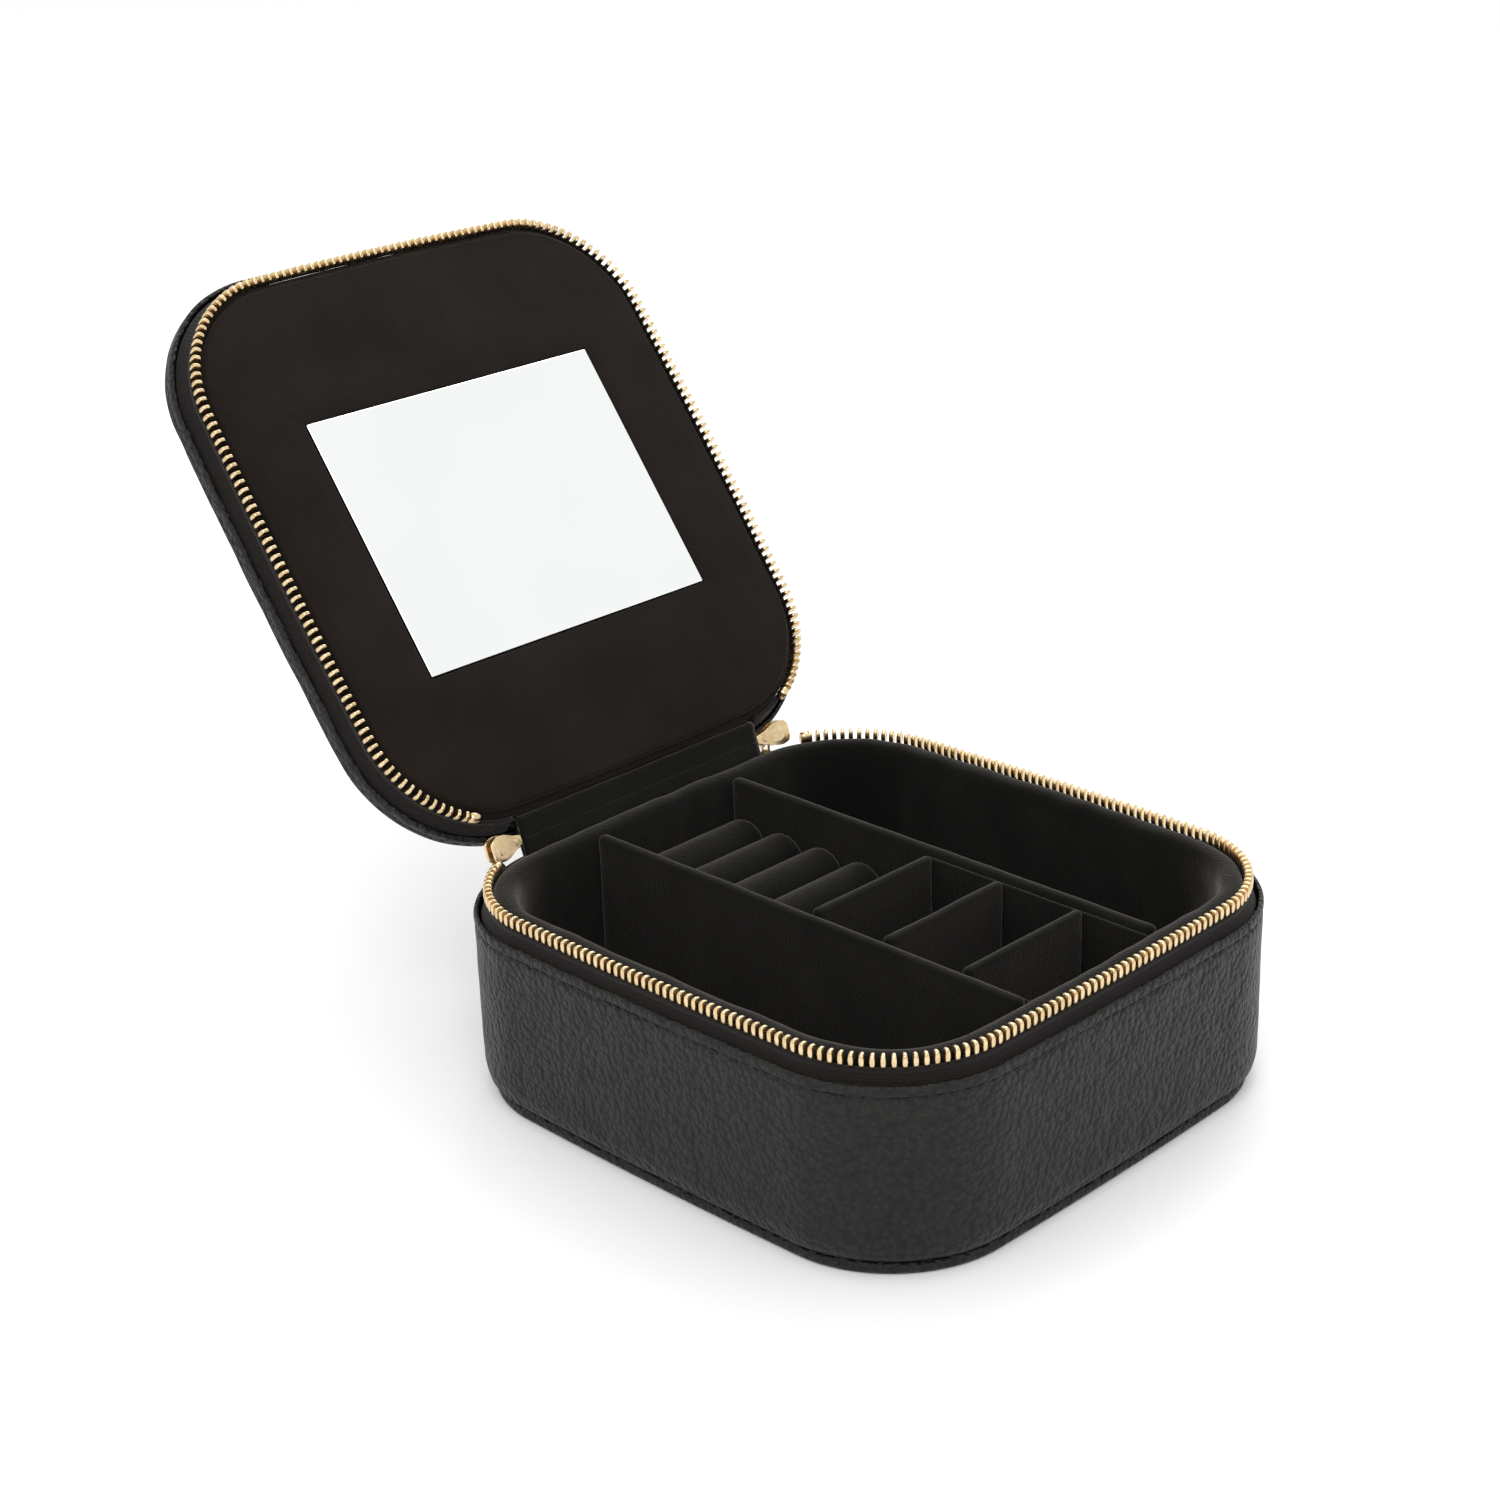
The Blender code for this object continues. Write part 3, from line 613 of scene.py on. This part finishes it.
def zip_half(side, plane, up, edge, phase, place):
    """A row of teeth, its end clips and its tape."""
    first = TEETH_START + TOOTH_PITCH * (1 + phase)
    count = int((LINE_LENGTH - 2 * first) / TOOTH_PITCH)
    lengths = first + TOOTH_PITCH * np.arange(count + 1)
    points, faces = beads(lengths, tooth_shape(), 0.0, plane, up)
    piece(f"{side}_teeth", points, faces, "gold_metal", side, (f"{side}_zip_teeth",), place=place)
    ends = np.array((TEETH_START + END_CLIP_INSET, LINE_LENGTH - TEETH_START - END_CLIP_INSET))
    points, faces = beads(ends, stop_shape(), 0.0, plane, up)
    piece(f"{side}_end_clips", points, faces, "gold_metal", side, place=place)
    bead, half = 0.62 * MM, 0.38 * MM
    top = TEETH_HEIGHT + 0.2 * MM
    knee, foot = (1.6 * MM, 8.4 * MM), (1.8 * MM, edge + 1.6 * MM)
    profile = [(-bead, top), (bead, top), (bead, top + 1.0 * MM), (half, top + 1.5 * MM)]
    profile += [(knee[0] + half, knee[1]), (foot[0] + half, foot[1]), (foot[0] - half, foot[1])]
    profile += [(knee[0] - half, knee[1]), (-half, top + 1.5 * MM), (-bead, top + 1.0 * MM)]
    profile = filled(soften(profile, 0.35 * MM, 4), 0.8 * MM)
    lengths = round_front(TAPE_START, 1.2 * MM)
    tape = f"{side}_zip_tape"
    swept(f"{side}_tape", lengths, profile, plane, up, False, "zip_tape", side, (tape,), place, TAPE_WOBBLE)


# Leather --------------------------------------------------------------------------------------------------


def stitch_row(name, lengths, out, plane, up, depth, body, place):
    """A row of separate thread stitches, each sunk at both ends."""
    rings = []
    for along, size in ((-1.0, 0.3), (-0.8, 0.85), (-0.3, 1.0), (0.3, 1.0), (0.8, 0.85), (1.0, 0.3)):
        ring = []
        for angle in np.linspace(0, 2 * math.pi, 8, endpoint=False):
            sunk = -0.22 * MM * (1 - size)
            lift = sunk + STITCH_RADIUS * size * math.cos(angle)
            ring.append((along * STITCH_LENGTH / 2, lift, depth + STITCH_RADIUS * size * math.sin(angle)))
        rings.append(ring)
    points, faces = beads(lengths, np.array(rings), out, plane, up)
    piece(name, points, faces, "thread", body, place=place)


def leather_wall(side, plane, up, edge, foot, curl, place):
    """The side: an edge folded over and stitched, a soft flat and a foot that curls in under the panel."""
    out, thick = LEATHER_OUT, LEATHER_THICK
    seam = edge + SEAM_DROP
    profile = [
        (out - thick, edge + 0.6 * MM),
        (out - 0.8 * thick, edge),
        (out - 0.2 * thick, edge),
        (out + 0.15 * MM, edge + 0.7 * MM),
        (out + 0.15 * MM, seam - 0.8 * MM),
        (out - 0.45 * MM, seam),
        (out - 0.05 * MM, seam + 0.8 * MM),
        (out, seam + 1.6 * MM),
        (out, foot - 2.0 * curl),
        (out - 0.3 * curl, foot - 0.7 * curl),
        (out - curl, foot),
        (out - curl - 0.6 * thick, foot - 0.8 * thick),
        (out - thick - 0.4 * curl, foot - 0.4 * curl - thick),
        (out - thick, foot - 2.4 * curl),
    ]
    profile = filled(soften(profile, 0.7 * MM, 5), 1.3 * MM)
    wall = f"{side}_leather_wall"
    rounds, wobble = all_round(1.3 * MM), LEATHER_WOBBLE
    swept(f"{side}_leather", rounds, profile, plane, up, True, "leather", side, (wall,), place, wobble)
    stitches = all_round(STITCH_PITCH)
    stitch_row(f"{side}_wall_stitches", stitches, out - 0.22 * MM, plane, up, seam, side, place)


# Base -----------------------------------------------------------------------------------------------------


def base():
    leather_wall("base", RIM_Z, -1, BASE_EDGE, RIM_Z - PANEL_THICK - GAP, BASE_FOOT_CURL, None)
    zip_half("base", RIM_Z, -1, BASE_EDGE, 0.0, None)
    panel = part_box("base_bottom_panel")
    slab(
        "base_bottom", PANEL_OUT, panel[0].z, panel[1].z, 1.7 * MM, "leather", "base", ("base_bottom_panel",)
    )
    inner, outer = BASE_LINING_INNER, BASE_LINING_OUTER
    top = BASE_LINING_DROP
    foot = RIM_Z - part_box("base_wall_lining")[0].z
    thick = BASE_LINING_THICK
    profile = [
        (inner, foot),
        (inner, top + 3.0 * MM),
        (inner + 1.2 * MM, top + 0.5 * MM),
        ((inner + outer) / 2, top - 0.15 * MM),
        (outer - 1.2 * MM, top + 0.5 * MM),
        (outer, top + 3.0 * MM),
        (outer, top + 7.0 * MM),
        (outer - thick, top + 7.0 * MM),
        (outer - thick, top + 3.6 * MM),
        (outer - 2.6 * MM, top + 1.3 * MM),
        (inner + 2.6 * MM, top + 1.3 * MM),
        (inner + thick, top + 3.6 * MM),
        (inner + thick, foot),
    ]
    profile = filled(soften(profile, 1.1 * MM, 5), 2.0 * MM)
    rounds = all_round(1.5 * MM)
    lining = ("base_wall_lining",)
    swept("base_lining", rounds, profile, RIM_Z, -1, True, "velvet", "base", lining, None, BASE_LINING_WOBBLE)
    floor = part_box("base_floor_lining")
    slab(
        "base_floor_velvet",
        -FLOOR_LINING_IN,
        floor[0].z,
        floor[1].z,
        0.4 * MM,
        "velvet",
        "base",
        ("base_floor_lining",),
    )
    for seed, side in enumerate(("left", "right")):
        soft_board(f"divider_{side}", 1.7 * MM, DIVIDER_WOBBLE, seed + 1.0)
        soft_board(f"cell_liner_{side}", 0.55 * MM, LINER_WOBBLE, seed + 3.0)
    for number in (1, 2, 3):
        soft_board(f"cross_divider_{number}", 1.45 * MM, CROSS_WOBBLE, number + 5.0)
    soft_board("ring_roll_base", 0.8 * MM, ROLL_BASE_WOBBLE, 9.0)
    for number in range(1, 6):
        ring_roll(f"ring_roll_{number}", number)


def ring_roll(node, number):
    """A stuffed roll with round shoulders and slight hollows along it."""
    low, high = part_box(node)
    centre = (low + high) / 2
    radius = (high.y - low.y) / 2
    shoulder = 2.6 * MM
    stations = np.concatenate(
        (
            low.x + shoulder * (1 - np.cos(np.linspace(0, math.pi / 2, 8))),
            np.linspace(low.x + shoulder, high.x - shoulder, 34)[1:-1],
            high.x - shoulder * (1 - np.cos(np.linspace(math.pi / 2, 0, 8))),
        )
    )
    points = []
    around = 48
    for x in stations:
        depth = min(1.0, (x - low.x) / shoulder, (high.x - x) / shoulder)
        size = radius - shoulder * (1 - math.sqrt(max(0.0, 1 - (1 - depth) ** 2)))
        for step in range(around):
            angle = 2 * math.pi * step / around
            spot = Vector((x / (11 * MM), math.cos(angle) * 1.5, math.sin(angle) * 1.5 + 7 * number))
            local = size - ROLL_HOLLOW * (0.5 + 0.5 * noise.noise(spot))
            points.append((x, centre.y + local * math.cos(angle), centre.z + local * math.sin(angle)))
    faces = grid_faces(len(stations), around, False, True)
    faces += [range(around), range((len(stations) - 1) * around, len(stations) * around)]
    item = piece(f"{node}_velvet", points, faces, "velvet", "base", (node,))


# Lid ------------------------------------------------------------------------------------------------------


def lid():
    back = LID_PANEL_BACK - LID_PANEL_THICK
    leather_wall("lid", LID_Z, 1, LID_EDGE, back - GAP, LID_FOOT_CURL, LID_REST)
    zip_half("lid", LID_Z, 1, LID_EDGE, 0.5, LID_REST)
    panel = ("lid_outer_panel",)
    low, high = LID_Z + back, LID_Z + LID_PANEL_BACK
    slab("lid_outer", LID_PANEL_OUT, low, high, 1.3 * MM, "leather", "lid", panel, LID_REST, 0.0, LID_CROWN)
    lining_panel()
    low = (-MIRROR_HALF.x, -MIRROR_HALF.y, LID_Z + LINING_FACE - GAP)
    high = (MIRROR_HALF.x, MIRROR_HALF.y, LID_Z + LINING_BACK - GAP)
    points, faces = cushion_points(low, high, MIRROR_BEVEL, 8 * MM)
    piece("mirror", points, faces, "mirror", "lid", ("mirror_glass",), place=LID_REST)


def lining_panel():
    """The velvet face: rolled over its outer edge, and turned in round the mirror's window."""
    path, normal = line_at(all_round(0.9 * MM))
    rim = path - normal * LINING_IN
    window = MIRROR_HALF + Vector((GAP, GAP))
    away = np.maximum(abs(rim), 1e-9)
    scale = np.minimum(window.x / away[:, 0], window.y / away[:, 1])
    hole = rim * scale[:, None]
    face, back = LINING_FACE, LINING_BACK
    stops = [(0.0, LINING_FLANGE), (0.0, back), (0.0, face + 1.0 * MM)]
    stops += [(0.006, face + 0.45 * MM), (0.016, face + 0.12 * MM)]
    stops += [(0.03, face), (0.25, face - 0.1 * MM), (0.5, face - 0.15 * MM), (0.75, face - 0.1 * MM)]
    stops += [(0.975, face), (0.993, face + 0.12 * MM), (1.0, face + 0.45 * MM)]
    stops += [(1.0, back), (0.05, back + GAP)]
    points = []
    for edge, x_rim, x_hole in zip(path - normal * FLANGE_IN, rim, hole):
        points += [(*edge, LID_Z + LINING_FLANGE + 0.5 * MM), (*edge, LID_Z + LINING_FLANGE)]
        points += [(*(x_rim + (x_hole - x_rim) * t), LID_Z + drop) for t, drop in stops]
    faces = grid_faces(len(rim), len(stops) + 2, True, True)
    points = ruffle(points, LID_LINING_WOBBLE, 14 * MM, 4.0)
    piece("lid_lining", points, faces, "lid_velvet", "lid", ("lid_lining_panel",), place=LID_REST)


# Spine ----------------------------------------------------------------------------------------------------


def hinge_skin(name, profile, crease, turn, rest, material, stands_for):
    """A strip across the back, drawn closed, then bent at a crease, with the turn easing in smoothly across
    it.
    """
    columns = len(profile)
    across = np.linspace(-SPINE_HALF, SPINE_HALF, 64)
    reach = CREASE_REACH
    points = []
    for x in across:
        for out, height in profile:
            share = min(1.0, max(0.0, (height - crease.z + reach) / (2 * reach)))
            share = share * share * (3 - 2 * share)
            uneven = HINGE_WOBBLE * noise.noise_vector(Vector((x, out, height)) / (7 * MM))
            place = Vector((x, BACK_Y + out, height)) + uneven
            points.append(rest @ turn_about(crease, turn * share) @ place)
    faces = grid_faces(len(across), columns, False, True)
    faces += [range(columns), range((len(across) - 1) * columns, len(across) * columns)]
    item = piece(name, points, faces, material, None, stands_for)
    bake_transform(item)


def spine():
    middle = (CREASE_BASE.z + LID_CLOSED_CREASE.z) / 2
    split = 0.05 * MM
    still = Matrix.Identity(4)
    thin, thick = CREASE_OUT + 0.15 * MM, CREASE_OUT + 1.15 * MM
    low_edge, high_edge = RIM_Z - BASE_EDGE, LID_Z + LID_EDGE
    low = [(1.0 * MM, low_edge - 1.4 * MM), (1.8 * MM, low_edge - 1.4 * MM), (1.75 * MM, low_edge + 1.0 * MM)]
    low += [(thick, CREASE_BASE.z + 1.5 * MM), (thick, middle - split), (thin, middle - split)]
    low += [(thin, CREASE_BASE.z + 0.5 * MM), (0.9 * MM, low_edge)]
    high = [(1.0 * MM, high_edge + 1.4 * MM), (1.8 * MM, high_edge + 1.4 * MM)]
    high += [(1.75 * MM, high_edge - 1.0 * MM)]
    high += [(thick, LID_CLOSED_CREASE.z - 1.5 * MM), (thick, middle + split), (thin, middle + split)]
    high += [(thin, LID_CLOSED_CREASE.z - 0.5 * MM), (0.9 * MM, high_edge)]
    near, far = CREASE_OUT - 0.85 * MM, CREASE_OUT - 0.15 * MM
    down, over = CREASE_BASE.z - 2.6 * MM, LID_CLOSED_CREASE.z + 2.6 * MM
    low_lining = [(near, down), (far, down), (far, middle - split), (near, middle - split)]
    high_lining = [(near, over), (far, over), (far, middle + split), (near, middle + split)]
    lid_crease = LID_CLOSED_CREASE
    folds = (
        ("low", low, low_lining, CREASE_BASE, SPINE_LEAN, still, ("base", "spine"), "base_hinge_strip"),
        ("high", high, high_lining, lid_crease, LID_FOLD, SPINE_REST, ("spine", "lid"), "lid_hinge_strip"),
    )
    for part, skin, inside, crease, turn, rest, bodies, strip in folds:
        skin = filled(soften(skin, 0.3 * MM, 3), 0.6 * MM)
        inside = filled(soften(inside, 0.2 * MM, 3), 0.6 * MM)
        stands_for = (strip, "spine_leather")
        hinge_skin(f"hinge_leather_{part}", skin, crease, turn, rest, "leather", stands_for)
        hinge_skin(f"hinge_lining_{part}", inside, crease, turn, rest, "velvet", ("spine_lining",))


# Sliders and pulls ----------------------------------------------------------------------------------------


def plate_mesh(work, outline, low, high, bevel):
    """Adds a plate with round edges to a bmesh."""
    bottom = [work.verts.new((x, y, low)) for x, y in outline]
    top = [work.verts.new((x, y, high)) for x, y in outline]
    count = len(outline)
    faces = [work.faces.new(bottom[::-1]), work.faces.new(top)]
    for index in range(count):
        after = (index + 1) % count
        faces.append(work.faces.new((bottom[index], bottom[after], top[after], top[index])))
    edges = set(faces[0].edges) | set(faces[1].edges)
    bmesh.ops.bevel(work, geom=list(edges), offset=bevel, segments=4, affect="EDGES", profile=0.5)


def tube_mesh(work, path, radius, closed):
    """Adds a round wire along a path of points to a bmesh."""
    around = 14
    rings = []
    count = len(path)
    for index, point in enumerate(path):
        after = path[(index + 1) % count] if closed else path[min(index + 1, count - 1)]
        before = path[index - 1] if closed else path[max(index - 1, 0)]
        tangent = (after - before).normalized()
        side = Vector((0, 1, 0)) if closed and abs(tangent.y) < 0.1 else tangent.orthogonal().normalized()
        side = (side - tangent * side.dot(tangent)).normalized()
        other = tangent.cross(side)
        ring = []
        for step in range(around):
            angle = 2 * math.pi * step / around
            ring.append(work.verts.new(point + radius * (math.cos(angle) * side + math.sin(angle) * other)))
        rings.append(ring)
    for index in range(count if closed else count - 1):
        here, there = rings[index], rings[(index + 1) % count]
        for step in range(around):
            after = (step + 1) % around
            work.faces.new((here[step], here[after], there[after], there[step]))
    if not closed:
        work.faces.new(rings[0][::-1])
        work.faces.new(rings[-1])


def metal(name, work, place, body, stands_for):
    mesh_points = [place @ vertex.co for vertex in work.verts]
    work.verts.index_update()
    faces = [[vertex.index for vertex in face.verts] for face in work.faces]
    work.free()
    item = piece(name, mesh_points, faces, "gold_metal", body, stands_for)
    item.data.set_sharp_from_angle(angle=math.radians(50))
    return item


def slider(side, sign):
    """Two shield plates, the wedge between them and the arched bridge that holds the pull."""
    length, height = SLIDER_LENGTH, SLIDER_HEIGHT
    shape = ((-1, -0.42), (-0.5, -0.52), (0.1, -0.92), (0.6, -1), (1, -0.72), (1, 0.72))
    shape += ((0.6, 1), (0.1, 0.92), (-0.5, 0.52), (-1, 0.42))
    outline = soften([(length * x, height * y) for x, y in shape], 0.9 * MM, 4)
    work = bmesh.new()
    plate_mesh(work, outline, SLIDER_INSIDE, SLIDER_OUTSIDE, 0.26 * MM)
    plate_mesh(work, outline, -SLIDER_OUTSIDE, -SLIDER_INSIDE, 0.26 * MM)
    inset = [(0.66 * x, 0.6 * y) for x, y in outline]
    plate_mesh(work, inset, -1.86 * MM, -1.5 * MM, 0.14 * MM)
    turns = np.linspace(0, 2 * math.pi, 18, endpoint=False)
    wedge = [(WEDGE_ALONG + WEDGE_LENGTH * math.cos(a), WEDGE_HEIGHT * math.sin(a)) for a in turns]
    plate_mesh(work, wedge, -1.2 * MM, 1.2 * MM, 0.1 * MM)
    drop = -SPINE_LENGTH / 2 + BRIDGE_ALONG
    arch = []
    for angle in np.linspace(math.pi, 0, 15):
        across = math.copysign(abs(math.cos(angle)) ** 0.5, math.cos(angle))
        out = BRIDGE_FOOT + (BRIDGE_OUT - BRIDGE_FOOT) * math.sin(angle) ** 0.5
        arch.append(Vector((BRIDGE_REACH * across, drop, out)))
    tube_mesh(work, arch, BRIDGE_RADIUS, False)
    centre = Vector((sign * SLIDER_X, BACK_Y + CREASE_OUT, (CREASE_BASE.z + LID_CLOSED_CREASE.z) / 2))
    lay = Matrix(((sign, 0, 0, 0), (0, 0, 1, 0), (0, 1, 0, 0), (0, 0, 0, 1)))
    turn = Matrix.Rotation(-sign * SLIDER_TURN, 4, "Z")
    place = SPINE_REST @ Matrix.Translation(centre) @ turn @ lay
    metal(f"slider_{side}_body", work, place, "spine", (f"slider_{side}",))


def pull(side):
    """The wire link through the bridge and the flat tab that hangs from it."""
    place = Matrix.Translation(Vector(joints[f"pull_{side}_swing"]["pos_m"]))
    link_low, link_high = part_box(f"pull_link_{side}")
    joint_z = place.translation.z
    half = (link_high.y - link_low.y) / 2
    upper, lower = link_high.z - joint_z - LINK_WIRE, link_low.z - joint_z + LINK_WIRE
    half -= LINK_WIRE
    loop = []
    for middle, start in ((upper - half, 0.0), (lower + half, math.pi)):
        for angle in np.linspace(start, start + math.pi, 16):
            loop.append(Vector((0, half * math.cos(angle), middle + half * math.sin(angle))))
    work = bmesh.new()
    tube_mesh(work, loop, LINK_WIRE, True)
    metal(f"pull_{side}_link", work, place, f"pull_{side}", (f"pull_link_{side}",))
    low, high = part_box(f"pull_tab_{side}")
    centre = (low + high) / 2
    head, width = TAB_HEAD, (high.x - low.x) / 2
    eye = high.z - head
    foot = low.z + width
    outline = [(head * math.cos(a), eye + head * math.sin(a)) for a in np.linspace(0, math.pi, 14)]
    below = np.linspace(math.pi, 2 * math.pi, 20)
    outline += [(width * math.cos(a), foot + width * math.sin(a)) for a in below]
    turns = np.linspace(0, 2 * math.pi, 33)[:-1]
    hole = [(TAB_HOLE * math.cos(a), eye + TAB_HOLE * math.sin(a)) for a in turns]
    tab(side, outline, hole, centre, (high.y - low.y) / 2)


def tab(side, outline, hole, centre, half):
    """A tab with a round eye: rings from the eye's wall to the rounded outer edge, on both faces."""
    eye = np.mean(np.array(hole), axis=0)
    edge = filled(outline, 0.5 * MM)
    angles = np.arctan2(edge[:, 1] - eye[1], edge[:, 0] - eye[0])
    radius = np.linalg.norm(np.array(hole[0]) - eye)
    ring = eye + radius * np.column_stack((np.cos(angles), np.sin(angles)))
    stops = [(0.0, 0.5), (0.0, 0.85), (0.02, 1.0), (0.3, 1.0)]
    stops += [(0.8, 1.0), (0.955, 1.0), (0.985, 0.8), (1.0, 0.4)]
    stops += [(share, -level) for share, level in stops[::-1]]
    points = []
    for inner, outer in zip(ring, edge):
        for share, level in stops:
            x, z = inner + (outer - inner) * share
            points.append((centre.x + x, centre.y + half * level, z))
    faces = grid_faces(len(edge), len(stops), True, True)
    item = piece(f"pull_{side}_tab", points, faces, "gold_metal", f"pull_{side}", (f"pull_tab_{side}",))
    item.data.set_sharp_from_angle(angle=math.radians(60))


# Setting --------------------------------------------------------------------------------------------------


def repaint_inner_parts():
    """Boards and foam keep their CAD shape and get a finish."""
    for node in ("base_floor_board", "base_wall_board", "lid_core_board", "lid_wall_board", "mirror_backing"):
        give(node, "board")
    for node in ("base_wall_foam", "lid_foam"):
        give(node, "foam")


def give(node, finish):
    item = frame["nodes"][node]
    item.data.materials.clear()
    item.data.materials.append(MATERIALS[finish])


def setting():
    floor_mesh = bpy.data.meshes.new("floor")
    side = FLOOR_REACH
    corners = [(-side, -side, 0), (side, -side, 0), (side, side, 0), (-side, side, 0)]
    floor_mesh.from_pydata(corners, [], [(0, 1, 2, 3)])
    floor = bpy.data.objects.new("floor", floor_mesh)
    finish = bpy.data.materials.new("floor_white")
    finish.use_nodes = True
    shader = finish.node_tree.nodes["Principled BSDF"]
    shader.inputs["Base Color"].default_value = (0.97, 0.97, 0.97, 1)
    shader.inputs["Roughness"].default_value = 0.9
    floor_mesh.materials.append(finish)
    bpy.context.scene.collection.objects.link(floor)
    world = bpy.data.worlds.new("studio")
    world.use_nodes = True
    world.node_tree.nodes["Background"].inputs["Color"].default_value = (1, 1, 1, 1)
    world.node_tree.nodes["Background"].inputs["Strength"].default_value = 1.0
    bpy.context.scene.world = world
    for lamp in LAMPS:
        area_light(*lamp)
    bpy.context.scene.view_settings.view_transform = "Standard"


def area_light(name, place, size, power):
    light = bpy.data.lights.new(name, "AREA")
    light.size = size
    light.energy = power
    lamp = bpy.data.objects.new(name, light)
    lamp.location = place
    lamp.rotation_euler = (CAMERA_AIM - Vector(place)).to_track_quat("-Z", "Y").to_euler()
    bpy.context.scene.collection.objects.link(lamp)


def camera():
    azimuth, elevation = math.radians(CAMERA_AZIMUTH), math.radians(CAMERA_ELEVATION)
    back = Vector(
        (
            math.sin(azimuth) * math.cos(elevation),
            -math.cos(azimuth) * math.cos(elevation),
            math.sin(elevation),
        )
    )
    right = (-back).cross(Vector((0, 0, 1))).normalized()
    up = right.cross(-back)
    roll = math.radians(CAMERA_ROLL)
    rolled_right = math.cos(roll) * right + math.sin(roll) * up
    rolled_up = -math.sin(roll) * right + math.cos(roll) * up
    place = CAMERA_AIM + back * CAMERA_DISTANCE + rolled_right * CAMERA_SLIDE.x + rolled_up * CAMERA_SLIDE.y
    lens = bpy.data.cameras.new("camera")
    lens.lens = CAMERA_LENS
    lens.sensor_width = SENSOR_WIDTH
    item = bpy.data.objects.new("camera", lens)
    facing = Matrix((rolled_right, rolled_up, back)).transposed().to_4x4()
    item.matrix_world = Matrix.Translation(place) @ facing
    bpy.context.scene.collection.objects.link(item)
    bpy.context.scene.camera = item


base()
lid()
spine()
for side_name, side_sign in (("left", -1), ("right", 1)):
    slider(side_name, side_sign)
    pull(side_name)
repaint_inner_parts()
setting()
camera()
write_size()
